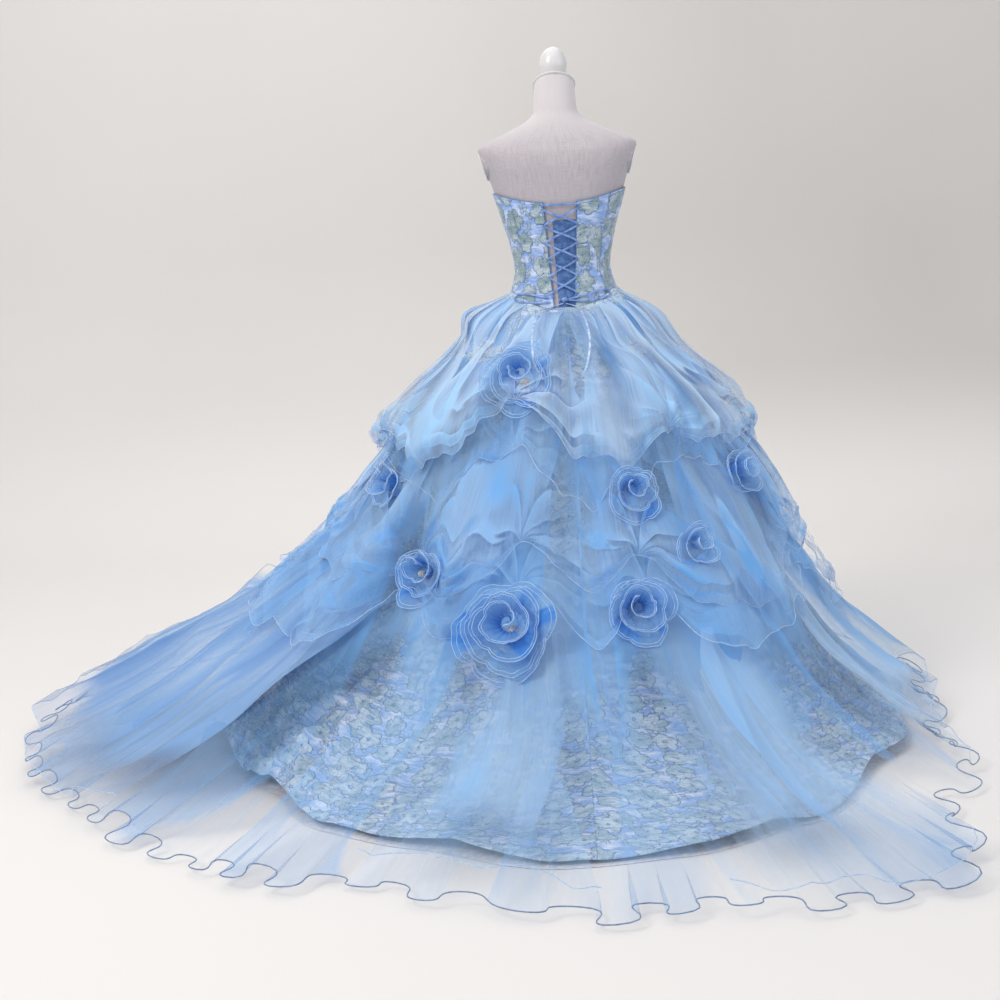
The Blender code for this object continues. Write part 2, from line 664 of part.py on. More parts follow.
def build_tulle():
    """The long layer in six widths, the four gathered widths over it and the two puffed tiers."""
    for name, first, last in TRAIN_GORES:
        gore(name, first, last, NET_COLUMNS, len(NET_PROFILE) + 1, net_point, NET, TULLE)

    step = 360 / NET_COLUMNS
    for name, from_deg, to_deg, from_row, to_row in OVERLAYS:
        first, last = math.ceil(from_deg / step), math.floor(to_deg / step)
        stations = [from_row + (to_row - from_row) * i / 5 for i in range(6)]
        inner, outer = [], []
        for row in stations:
            share = (row - from_row) / (to_row - from_row)
            inner_row, outer_row = [], []
            for column in range(first, last + 1):
                gather = (1 + math.cos(math.pi * (column - first))) / 2
                off = NET + SEAM_GAP + 0.006 * smooth_step(2 * share) + 0.010 * gather * smooth_step(share)
                inner_row.append(net_point(row, column * step, off))
                outer_row.append(net_point(row, column * step, off + NET))
            inner.append(inner_row)
            outer.append(outer_row)
        wall(name, inner, outer, TULLE, closed=False)

    wall("tulle_tier_middle", *tier_grids(MIDDLE_TIER, MIDDLE_PICKUPS), TULLE, closed=True)
    wall("tulle_tier_upper", *tier_grids(UPPER_TIER, UPPER_PICKUPS), TULLE, closed=True)


def triangles(thing):
    """The corner numbers of an object's triangles."""
    thing.data.calc_loop_triangles()
    return [face.vertices[:] for face in thing.data.loop_triangles]


def surface_tree(thing):
    """A search tree over an object's triangles."""
    return BVHTree.FromPolygons([v.co for v in thing.data.vertices], triangles(thing))


def surface_hit(supports, degrees, z, reach=0.0):
    """The supports' outermost point at an angle, among the heights within reach of z."""
    turn = math.radians(degrees)
    radial, rise = Vector((math.sin(turn), math.cos(turn), 0)), Vector((0, 0, 1))
    far = 0.0
    for name in supports:
        tree = surface_tree(bpy.data.objects[name])
        for step in (-1, 0, 1) if reach else (0,):
            hit = tree.ray_cast(radial * 2.5 + rise * (z + step * reach), -radial)[0]
            if hit is not None:
                far = max(far, hit.dot(radial))
    return radial * far + rise * z


def seat(piece, supports, direction, start, gap):
    """Slide a piece along a direction from start metres away until gap before it meets a support."""
    trees = [surface_tree(bpy.data.objects[name]) for name in supports]
    faces = triangles(piece)
    home = [v.co.copy() for v in piece.data.vertices]

    def touches(travel):
        moved = BVHTree.FromPolygons([p + direction * travel for p in home], faces)
        return any(moved.overlap(tree) for tree in trees)

    clear, step = 0.0, 0.004
    while clear < start and not touches(clear + step):
        clear += step
    blocked = clear + step
    for _ in range(12):
        middle = (clear + blocked) / 2
        if touches(middle):
            blocked = middle
        else:
            clear = middle
    piece.data.transform(Matrix.Translation(direction * (clear - gap)))


def rosette_frame(angle, z, supports):
    """Foot, outward, sideways and upward directions of a rosette on the supports."""
    turn = math.radians(angle)
    radial, rise = Vector((math.sin(turn), math.cos(turn), 0)), Vector((0, 0, 1))
    facing = (radial + rise * ROSETTE_TILT).normalized()
    sideways = rise.cross(facing).normalized()
    return surface_hit(supports, angle, z), facing, sideways, facing.cross(sideways).normalized()


def build_rosettes():
    """Coiled strips of tulle, some with a brocade heart, each seated on the layer below it."""
    for name, angle, z, radius, turns, support in ROSETTES:
        supports = [support, *(gore_name for gore_name, _, _ in TRAIN_GORES)]
        foot, facing, sideways, upward = rosette_frame(angle, z, supports)
        centre = foot + facing * ROSETTE_RUN
        inner, outer = [], []
        count = round(ROSETTE_STEPS_PER_TURN * turns)
        for i in range(count + 1):
            share = i / count
            spin = 2 * math.pi * turns * share
            wobble = 1 + 0.10 * math.sin(2.3 * spin + angle) * share
            bottom = radius * (0.17 + 0.50 * share)
            top = radius * (0.25 + 0.75 * share) * wobble
            height = 0.055 * (1 - 0.45 * share) + 0.005 * math.sin(3.1 * spin)
            ray = sideways * math.cos(spin) + upward * math.sin(spin)
            edges = ((bottom, 0.0), (top, height))
            inner.append([centre + ray * out + facing * along for out, along in edges])
            outer.append([centre + ray * (out + CLOTH) + facing * along for out, along in edges])
        rosette = wall(name, inner, outer, TULLE, closed=False)
        seat(rosette, supports, -facing, ROSETTE_RUN * 1.3, ROSETTE_SEAT_GAP)
        if name in ROSETTE_HEARTS:
            heart = blob(name.replace("rosette", "rosette_heart"), centre, radius * 0.13, BROCADE)
            seat(heart, [*supports, name], -facing, ROSETTE_RUN * 1.3, ROSETTE_SEAT_GAP)


def blob(name, centre, radius, finish):
    """A small crumpled ball of cloth."""
    mesh = bpy.data.meshes.new(name)
    built = bmesh.new()
    bmesh.ops.create_icosphere(built, subdivisions=2, radius=radius)
    for vert in built.verts:
        x, y, z = vert.co / radius
        vert.co *= 1 + 0.10 * math.sin(5 * x + 3 * z) * math.cos(4 * y)
    bmesh.ops.translate(built, vec=centre, verts=built.verts)
    built.to_mesh(mesh)
    built.free()
    mesh.shade_smooth()
    mesh.materials.append(material(finish))
    made = bpy.data.objects.new(name, mesh)
    bpy.context.scene.collection.objects.link(made)
    return made


# ---------------------------------------------------------------- the bow
def build_bow():
    """The knot and its two long loops, laid on the bodice and the gathered tulle below it."""
    supports = ["bodice_back_left", "bodice_back_right", "bodice_side_back_left", "bodice_side_back_right",
                "modesty_panel", "lacing_left", "lacing_right", "tulle_tier_upper"]
    knot = blob("bow_knot", Vector((0, 0.2, KNOT_Z)), 1.0, RIBBON)
    knot.data.transform(Matrix.Translation(Vector((0, 0.2, KNOT_Z)))
                        @ Matrix.Diagonal((*KNOT_SIZE, 1))
                        @ Matrix.Translation(Vector((0, -0.2, -KNOT_Z))))
    seat(knot, ["modesty_panel", "bodice_back_left", "bodice_back_right", "lacing_left", "lacing_right"],
         Vector((0, -1, 0)), 0.12, 0.0004)
    for side, name, reach in ((1, "bow_loop_left", 0.112), (-1, "bow_loop_right", 0.106)):
        route, normals = [], []
        count = 16
        for i in range(count + 1):
            # Out along the lower edge of the loop and back along the upper one.
            turn = math.pi * (-0.955 + 1.91 * i / count)
            along = 0.010 + reach * (1 + math.cos(turn)) / 2
            drop = 0.012 * (along / reach) ** 2 + BOW_LOOP_HEIGHT / 2 * math.sin(turn) * (0.25 + along / reach)
            degrees = side * math.degrees(along / 0.115)
            z = KNOT_Z + drop
            at = surface_hit(supports, degrees, z, RIBBON_WIDTH * 0.7)
            angle = math.radians(degrees)
            radial = Vector((math.sin(angle), math.cos(angle), 0))
            route.append(at + radial * BOW_CLEARANCE)
            normals.append((radial + Vector((0, 0, 0.5))).normalized())
        ribbon(name, route, normals)


def build_tails():
    """The two free ends of the lacing ribbon, hanging down over the upper tier."""
    for name, route in TAILS:
        curve = bpy.data.curves.new(name, "CURVE")
        curve.dimensions = "3D"
        curve.bevel_depth = TAIL_DIAMETER / 2
        curve.bevel_resolution = 2
        curve.use_fill_caps = True
        spline = curve.splines.new("POLY")
        spline.points.add(len(route) - 1)
        for point, place in zip(spline.points, route):
            point.co = (*place, 1)
        curve.materials.append(material(RIBBON))
        bpy.context.scene.collection.objects.link(bpy.data.objects.new(name, curve))


def main():
    """Build the whole part."""
    clear_scene()
    build_form()
    build_bodice()
    build_skirt()
    build_tulle()
    build_rosettes()
    build_bow()
    build_tails()


main()
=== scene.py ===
"""Dressed model of a strapless, laced-back ball gown on a limbless dress form.

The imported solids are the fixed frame. The classes below make the cloth, the wired net, the lacing
and the form's cover over them, each piece in the place of the solid that it stands for.

Units are metres. +Z is up, the gown's laced back faces +Y and its front -Y. Angles run in
degrees from the centre back, positive towards +X.
"""

from __future__ import annotations

import logging
import math
from collections.abc import Callable, Sequence
from dataclasses import dataclass, field
from enum import Enum
from functools import partial

import bmesh
import bpy
import numpy as np
from mathutils import Matrix, Vector
from mathutils.bvhtree import BVHTree

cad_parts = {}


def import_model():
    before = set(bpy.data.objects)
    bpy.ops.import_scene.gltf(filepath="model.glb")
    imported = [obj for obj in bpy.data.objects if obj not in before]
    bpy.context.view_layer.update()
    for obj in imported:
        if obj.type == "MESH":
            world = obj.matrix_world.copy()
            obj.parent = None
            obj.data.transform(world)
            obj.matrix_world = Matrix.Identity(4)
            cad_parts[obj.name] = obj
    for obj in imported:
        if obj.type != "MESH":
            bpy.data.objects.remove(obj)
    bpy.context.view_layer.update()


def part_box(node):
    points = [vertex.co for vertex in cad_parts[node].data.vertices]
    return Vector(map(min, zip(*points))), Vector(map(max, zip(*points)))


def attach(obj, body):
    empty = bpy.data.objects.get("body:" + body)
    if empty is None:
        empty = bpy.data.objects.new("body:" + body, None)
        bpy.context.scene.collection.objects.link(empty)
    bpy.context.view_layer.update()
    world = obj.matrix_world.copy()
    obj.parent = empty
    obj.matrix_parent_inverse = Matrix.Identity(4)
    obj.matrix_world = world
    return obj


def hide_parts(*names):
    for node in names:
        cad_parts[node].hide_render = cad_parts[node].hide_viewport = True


LOG = logging.getLogger("ball_gown")
BODY = "root"
Array = np.ndarray
Thing = bpy.types.Object
Material = bpy.types.Material
Socket = bpy.types.NodeSocket
Adder = Callable[..., Socket]

# ------------------------------------------------------------------ the gown's measures
# The dress form's cross-sections: height, half width, depth behind and depth in front.
FORM_SECTIONS = (
    (0.820, 0.150, 0.100, 0.095),
    (0.900, 0.168, 0.122, 0.105),
    (0.980, 0.155, 0.114, 0.100),
    (1.060, 0.1245, 0.092, 0.091),
    (1.100, 0.1145, 0.084, 0.089),
    (1.160, 0.1225, 0.090, 0.098),
    (1.220, 0.139, 0.098, 0.120),
    (1.280, 0.157, 0.105, 0.134),
    (1.340, 0.176, 0.106, 0.118),
    (1.385, 0.194, 0.098, 0.095),
    (1.401, 0.197, 0.088, 0.085),
    (1.416, 0.174, 0.082, 0.080),
    (1.440, 0.122, 0.070, 0.070),
    (1.465, 0.072, 0.060, 0.060),
    (1.485, 0.054, 0.054, 0.054),
    (1.545, 0.050, 0.050, 0.050),
)
# The bodice's lower edge: its height at the sides, the centre back and the centre front.
HEM_SIDE, HEM_BACK, HEM_FRONT = 1.048, 1.004, 0.985
# The lacing opening's top, its height, its width at the hem and how much wider it is at its top.
OPENING_TOP, OPENING_HEIGHT, OPENING_FOOT, OPENING_SPREAD = 1.262, 0.258, 0.051, 0.031
# How far the bodice's inner side stands off the form's skin.
BODICE_OFF = 0.0026
# Profiles of the brocade skirt and of the long net: radius and height at the centre back,
# the wearer's left (+X), the centre front and the right (-X), from the waist to the floor.
SKIRT_PROFILE = (
    (0.200, 0.950, 0.215, 0.970, 0.195, 0.925, 0.210, 0.968),
    (0.305, 0.825, 0.302, 0.845, 0.280, 0.848, 0.290, 0.843),
    (0.395, 0.675, 0.370, 0.700, 0.336, 0.700, 0.348, 0.692),
    (0.475, 0.525, 0.420, 0.570, 0.384, 0.568, 0.394, 0.570),
    (0.560, 0.380, 0.480, 0.430, 0.432, 0.428, 0.446, 0.435),
    (0.680, 0.225, 0.570, 0.280, 0.492, 0.280, 0.520, 0.275),
    (0.840, 0.088, 0.685, 0.140, 0.556, 0.140, 0.625, 0.135),
    (1.030, 0.022, 0.805, 0.040, 0.614, 0.052, 0.720, 0.042),
    (1.215, 0.000, 0.905, 0.000, 0.660, 0.000, 0.775, 0.000),
)
NET_PROFILE = (
    (0.238, 0.965, 0.245, 0.985, 0.228, 0.945, 0.242, 0.983),
    (0.310, 0.890, 0.312, 0.905, 0.286, 0.885, 0.298, 0.903),
    (0.378, 0.798, 0.368, 0.815, 0.342, 0.815, 0.348, 0.812),
    (0.448, 0.680, 0.424, 0.700, 0.386, 0.702, 0.390, 0.695),
    (0.518, 0.560, 0.462, 0.605, 0.428, 0.592, 0.428, 0.602),
    (0.592, 0.440, 0.530, 0.505, 0.472, 0.472, 0.474, 0.492),
    (0.678, 0.325, 0.655, 0.400, 0.522, 0.348, 0.530, 0.362),
    (0.808, 0.208, 0.840, 0.285, 0.572, 0.230, 0.612, 0.220),
    (1.000, 0.105, 1.040, 0.180, 0.626, 0.142, 0.712, 0.125),
    (1.260, 0.045, 1.235, 0.085, 0.684, 0.068, 0.795, 0.050),
    (1.500, 0.000, 1.385, 0.000, 0.740, 0.000, 0.845, 0.000),
)
# Where each hem runs on the floor: angle and radius.
SKIRT_HEM = (
    (-180, 0.66), (-135, 0.70), (-95, 0.76), (-75, 0.80), (-44, 0.93), (-22, 1.12),
    (-8, 1.20), (3, 1.22), (18, 1.14), (30, 1.10), (46, 0.99), (73, 0.92), (110, 0.84), (145, 0.71),
)
NET_HEM = (
    (-180, 0.74), (-140, 0.79), (-102, 0.83), (-80, 0.85), (-62, 0.92), (-38, 1.20),
    (-24, 1.55), (-15, 1.54), (-8, 1.50), (0, 1.50), (11, 1.43), (19, 1.36), (26, 1.42), (36, 1.40),
    (52, 1.36), (66, 1.38), (80, 1.39), (96, 1.32), (116, 1.12), (140, 0.90),
)
# The net's tiers: row of the net, how far it stands off there, and its puff.
UPPER_STEPS = (
    (0.00, 0.0018, 0.000), (1.00, 0.0080, 0.014), (2.60, 0.0190, 0.026),
    (3.95, 0.0300, 0.022), (4.25, 0.0250, 0.004),
)
MIDDLE_STEPS = (
    (3.00, 0.0014, 0.000), (4.20, 0.0060, 0.010), (5.60, 0.0170, 0.022),
    (6.75, 0.0210, 0.020), (7.05, 0.0160, 0.004),
)
# A looser flounce lies under each tier and hangs below its hem.
UPPER_UNDER_STEPS = (
    (0.00, 0.0016, 0.000), (1.00, 0.0060, 0.008), (2.60, 0.0140, 0.016), (4.10, 0.0180, 0.014),
    (4.75, 0.0150, 0.004),
)
MIDDLE_UNDER_STEPS = (
    (3.40, 0.0016, 0.000), (4.40, 0.0060, 0.008), (5.90, 0.0120, 0.014), (7.10, 0.0140, 0.014),
    (7.65, 0.0120, 0.004),
)
# Where the tulle is parted and thin over the brocade: angle, half width, row, half height and share.
WINDOWS = (
    (-3, 8, 1.7, 1.4, 0.95), (-14, 5, 1.9, 1.3, 0.90), (24, 5, 2.6, 1.0, 0.85), (3, 7, 4.9, 1.7, 0.62),
    (-76, 20, 2.6, 1.3, 0.45), (76, 16, 3.0, 1.2, 0.40), (-24, 7, 4.6, 1.0, 0.90), (-50, 7, 5.4, 1.0, 0.90),
    (40, 6, 6.0, 1.4, 0.95), (64, 6, 4.6, 1.4, 0.80), (-10, 5, 8.6, 1.3, 0.90), (17, 5, 8.0, 1.0, 0.75),
    (34, 9, 8.2, 1.0, 0.80), (-38, 5, 3.2, 1.0, 0.70),
)
# Where a tier is caught up under a rosette: angle, lift in rows, half width in degrees.
UPPER_PICKUPS = (
    (17, 0.55, 20), (-28, 0.25, 16), (-72, 0.35, 20), (68, 0.30, 18), (150, 0.35, 24), (-140, 0.35, 24)
)
MIDDLE_PICKUPS = (
    (12, 0.75, 16), (-12, 0.70, 12), (36, 0.60, 14), (84, 0.30, 16), (-58, 0.35, 16), (-100, 0.45, 20),
    (150, 0.4, 24),
)
# The lacing's free ends, from the knot down over the upper tier.
LEFT_TAIL = (
    (0.0035, 0.1094, 1.0176), (0.034, 0.1160, 1.011), (0.053, 0.135, 1.0075), (0.066, 0.187, 1.001),
    (0.077, 0.262, 0.977), (0.081, 0.325, 0.965), (0.082, 0.400, 0.954), (0.082, 0.444, 0.931),
    (0.080, 0.447, 0.904), (0.070, 0.440, 0.880),
)
RIGHT_TAIL = (
    (-0.0035, 0.1094, 1.0170), (-0.026, 0.1175, 1.010), (-0.035, 0.165, 1.004), (-0.042, 0.229, 0.994),
    (-0.051, 0.296, 0.961), (-0.051, 0.336, 0.925), (-0.042, 0.371, 0.888), (-0.029, 0.397, 0.862),
)


class Side(Enum):
    """The wearer's left and right, as seen from behind the gown."""

    LEFT = 1
    RIGHT = -1


# ------------------------------------------------------------------ numbers
def linear(hex_colour: str) -> tuple[float, float, float, float]:
    """Turn an sRGB hex colour into linear red, green, blue and a full alpha.

    Args:
        hex_colour: Six hex digits.

    Returns:
        The colour as Blender's sockets take it.
    """
    channels = [int(hex_colour[i : i + 2], 16) / 255 for i in (0, 2, 4)]
    red, green, blue = (c / 12.92 if c <= 0.04045 else ((c + 0.055) / 1.055) ** 2.4 for c in channels)
    return red, green, blue, 1.0


def ease(t: Array | float) -> Array:
    """0 below 0, 1 above 1 and a smooth rise between."""
    t = np.clip(t, 0.0, 1.0)
    return t * t * (3 - 2 * t)


def unit(vectors: Array) -> Array:
    """Vectors of length one along the last axis."""
    return vectors / np.maximum(np.linalg.norm(vectors, axis=-1, keepdims=True), 1e-9)


def smooth_table(rows: Sequence[Sequence[float]], x: Array | float) -> Array:
    """Read a table on smooth curves that never overshoot its values.

    Args:
        rows: Rows whose first number is the place and whose others are values there.
        x: Places to read.

    Returns:
        The values, with one more axis than x.
    """
    data = np.asarray(rows, float)
    xs, ys = data[:, 0], data[:, 1:]
    step = np.diff(xs)[:, None]
    rise = np.diff(ys, axis=0) / step
    slope = np.zeros_like(ys)
    before, after = 2 * step[1:] + step[:-1], step[1:] + 2 * step[:-1]
    safe = np.where(np.abs(rise) < 1e-9, 1e-9, rise)
    mean = (before + after) / (before / safe[:-1] + after / safe[1:])
    slope[1:-1] = np.where(rise[:-1] * rise[1:] > 0, mean, 0)
    slope[0], slope[-1] = rise[0], rise[-1]
    x = np.clip(np.asarray(x, float), xs[0], xs[-1])
    i = np.clip(np.searchsorted(xs, x, side="right") - 1, 0, len(xs) - 2)
    t = ((x - xs[i]) / step[i, 0])[..., None]
    width = step[i]
    return (
        ys[i] * (1 + 2 * t) * (1 - t) ** 2 + slope[i] * width * t * (1 - t) ** 2
        + ys[i + 1] * t * t * (3 - 2 * t) - slope[i + 1] * width * t * t * (1 - t)
    )


def round_table(rows: Sequence[tuple[float, float]], degrees: Array) -> Array:
    """Read an (angle, value) table all the way round, eased between its rows.

    Args:
        rows: Angle and value of each place, in order.
        degrees: Angles to read.

    Returns:
        The value at each angle.
    """
    data = np.asarray([*rows, (rows[0][0] + 360, rows[0][1])], float)
    x = (np.asarray(degrees, float) - data[0, 0]) % 360 + data[0, 0]
    i = np.clip(np.searchsorted(data[:, 0], x, side="right") - 1, 0, len(data) - 2)
    t = ease((x - data[i, 0]) / (data[i + 1, 0] - data[i, 0]))
    return data[i, 1] + (data[i + 1, 1] - data[i, 1]) * t


def along_rows(grid: Array, rows: Array) -> Array:
    """Read a grid between its whole rows on Catmull-Rom curves.

    Args:
        grid: Points of shape (rows, columns, 3).
        rows: Wanted row of each point, of shape (steps, columns).

    Returns:
        Points of shape (steps, columns, 3).
    """
    last = len(grid) - 1
    low = np.clip(np.floor(rows).astype(int), 0, last - 1)
    t = np.clip(rows - low, 0, 1)[..., None]
    column = np.broadcast_to(np.arange(grid.shape[1]), low.shape)
    first, second = grid[low, column], grid[low + 1, column]
    before = np.where((low > 0)[..., None], grid[np.maximum(low - 1, 0), column], 2 * first - second)
    after = np.where(
        (low + 2 <= last)[..., None], grid[np.minimum(low + 2, last), column], 2 * second - first
    )
    return 0.5 * (
        2 * first + (second - before) * t + (2 * before - 5 * first + 4 * second - after) * t**2
        + (3 * first - before - 3 * second + after) * t**3
    )


def smooth_path(points: Sequence[Sequence[float]], per_span: int) -> Array:
    """A Catmull-Rom curve through points, per_span steps between each two.

    Args:
        points: Points that it goes through.
        per_span: Steps between each two.

    Returns:
        The points along the curve.
    """
    grid = np.asarray(points, float)[:, None, :]
    rows = np.linspace(0, len(points) - 1, (len(points) - 1) * per_span + 1)[:, None]
    return along_rows(grid, rows)[:, 0]


@dataclass(frozen=True)
class Crinkle:
    """Seeded smooth noise over cloth; its first direction closes round the gown."""

    seed: int
    lattice: int = 256

    def at(self, u: Array, v: Array, period: int = 256) -> Array:
        """Noise from 0 to 1.

        Args:
            u: Place round the gown, in lattice cells; it repeats every period cells.
            v: Place down the cloth, in lattice cells.
            period: Cells once round.

        Returns:
            The noise at each place.
        """
        table = np.random.default_rng(self.seed).random((self.lattice, self.lattice))
        u, v = np.broadcast_arrays(np.asarray(u, float), np.asarray(v, float))
        iu, iv = np.floor(u).astype(int), np.floor(v).astype(int)
        fu, fv = ease(u - iu), ease(v - iv)
        here, there = iu % period % self.lattice, (iu + 1) % period % self.lattice
        top, bottom = iv % self.lattice, (iv + 1) % self.lattice
        above = table[here, top] * (1 - fu) + table[there, top] * fu
        below = table[here, bottom] * (1 - fu) + table[there, bottom] * fu
        return above * (1 - fv) + below * fv

    def ridges(self, u: Array, v: Array, period: int = 256) -> Array:
        """The same noise folded into narrow crests, from 0 to 1."""
        return (1 - np.abs(2 * self.at(u, v, period) - 1)) ** 1.6


# ------------------------------------------------------------------ the form's and skirts' shapes
def form_points(degrees: Array | float, z: Array | float, off: Array | float = 0.0) -> Array:
    """Points on the dress form's skin, moved out by off.

    Args:
        degrees: Angle from the centre back.
        z: Height.
        off: Distance out of the skin.

    Returns:
        Points of the arguments' shape, with a last axis of three.
    """
    degrees, z, off = np.broadcast_arrays(*(np.asarray(a, float) for a in (degrees, z, off)))
    width, back, front = np.moveaxis(smooth_table(FORM_SECTIONS, z), -1, 0)
    c, s = np.cos(np.radians(degrees)), np.sin(np.radians(degrees))
    depth = np.where(c > 0, back, front)
    power = 2 / 2.25
    x = width * np.sign(s) * np.abs(s) ** power
    y = depth * np.sign(c) * np.abs(c) ** power
    away = unit(np.stack([x / width**2, y / depth**2, np.zeros_like(x)], -1))
    return np.stack([x, y, z], -1) + away * off[..., None]


def form_normals(degrees: Array, z: Array) -> Array:
    """Level directions out of the dress form's skin."""
    return unit(form_points(degrees, z, 1.0) - form_points(degrees, z, 0.0))


def bodice_hem(degrees: Array | float) -> Array:
    """Height of the bodice's lower edge: dipped at the centre back and front.

    Args:
        degrees: Angles round the form.

    Returns:
        The edge's height at each angle.
    """
    c = np.cos(np.radians(degrees))
    dip, level = np.where(c > 0, HEM_BACK, HEM_FRONT), 0.985
    return HEM_SIDE + (dip - HEM_SIDE) * np.minimum(1.0, np.abs(c) / level) ** 3


def bodice_top(degrees: Array | float) -> Array:
    """Height of the bodice's upper edge: low behind, two peaks over the bust, a dip between.

    Args:
        degrees: Angles round the form.

    Returns:
        The edge's height at each angle.
    """
    c = np.cos(np.radians(degrees))
    side_top, back_dip, bust_rise, bust_angle = 1.292, 0.030, 0.043, 32
    peak = np.exp(-(((np.abs(np.mod(degrees, 360) - 180) - bust_angle) / 20) ** 2))
    return np.where(c > 0, side_top - back_dip * c**2, side_top + bust_rise * peak)


def opening_edge(z: Array | float) -> Array:
    """Angle from the centre back of the lacing opening's edge at a height.

    Args:
        z: Heights up the back.

    Returns:
        The edge's angle at each height.
    """
    z = np.asarray(z, float)
    half = (OPENING_FOOT + OPENING_SPREAD * (z - HEM_BACK) / OPENING_HEIGHT) / 2
    low, high = np.zeros_like(z), np.full_like(z, 60.0)
    for _ in range(24):
        middle = (low + high) / 2
        inside = form_points(middle, z, BODICE_OFF)[..., 0] < half
        low, high = np.where(inside, middle, low), np.where(inside, high, middle)
    return high


@dataclass(frozen=True)
class SkirtShape:
    """A skirt's smooth inner side, from the waist to its outline on the floor."""

    profile: tuple[tuple[float, ...], ...]
    hem: tuple[tuple[float, float], ...]
    waist_off: float
    folds: int
    fold_depth: float
    fold_rows: float
    phase: tuple[float, float, float]
    ruffle: float = 0.0

    def whole(self, degrees: Array) -> tuple[Array, Array]:
        """Points and outward directions on every whole row.

        Args:
            degrees: Angles of the columns.

        Returns:
            Two grids of shape (rows, columns, 3).
        """
        c, s = np.cos(np.radians(degrees)), np.sin(np.radians(degrees))
        rows = np.asarray(self.profile)[:, :, None]
        side_r, side_z = np.where(s > 0, rows[:, 2], rows[:, 6]), np.where(s > 0, rows[:, 3], rows[:, 7])
        end_r, end_z = np.where(c > 0, rows[:, 0], rows[:, 4]), np.where(c > 0, rows[:, 1], rows[:, 5])
        radius = end_r * c * c + side_r * s * s
        reach = round_table(self.hem, degrees) / radius[-1] - 1
        share = (np.arange(1, len(rows) + 1) / len(rows))[:, None]
        radius = radius * (1 + reach * share**4)
        below = np.stack([radius * s, radius * c, end_z * c * c + side_z * s * s], -1)
        waist = bodice_hem(degrees) - 0.0009
        ring = form_points(degrees, waist, 0.0)
        bare = np.concatenate([ring[None], below])
        base = np.concatenate([form_points(degrees, waist, self.waist_off)[None], below])
        slope = np.concatenate([bare[1:], bare[-1:]]) - np.concatenate([bare[:1], bare[:-1]])
        radial = np.stack([s, c, np.zeros_like(s)], -1)
        run = (slope * radial).sum(-1, keepdims=True)
        lean = unit(radial * -slope[..., 2:] + np.array([0, 0, 1.0]) * run)
        lean[0] = form_normals(degrees, waist)
        return base, lean

    def fold(self, rows: Array, degrees: Array) -> Array:
        """Depth of the soft folds, none at the waist.

        Args:
            rows: Rows of the skirt.
            degrees: Angles of the columns.

        Returns:
            How far the folds stand out.
        """
        swing, beat, turn = self.phase
        angle = np.radians(self.folds * degrees + swing * np.sin(np.radians(beat * degrees)) + turn)
        depth = self.fold_depth * ease((rows - 0.5) / self.fold_rows) + self.ruffle * ease((rows - 9) / 2)
        return depth * (1 - np.cos(angle)) / 2

    def frame(self, rows: Array, degrees: Array) -> tuple[Array, Array, Array, Array]:
        """Smooth points and their directions at any rows.

        Args:
            rows: Rows, of shape (steps, columns).
            degrees: Angles of the columns.

        Returns:
            Points, outward, sideways and downward directions.
        """
        base, lean = self.whole(degrees)
        points, out = along_rows(base, rows), unit(along_rows(lean, rows))
        turn = np.radians(degrees)
        side = np.broadcast_to(np.stack([np.cos(turn), -np.sin(turn), np.zeros_like(turn)], -1), points.shape)
        return points, out, side, unit(np.cross(out, side))


BROCADE_SHAPE = SkirtShape(SKIRT_PROFILE, SKIRT_HEM, 0.0007, 12, 0.017, 5, (25, 3, 0))
NET_SHAPE = SkirtShape(NET_PROFILE, NET_HEM, 0.0030, 18, 0.012, 3, (30, 2, 0), 0.014)


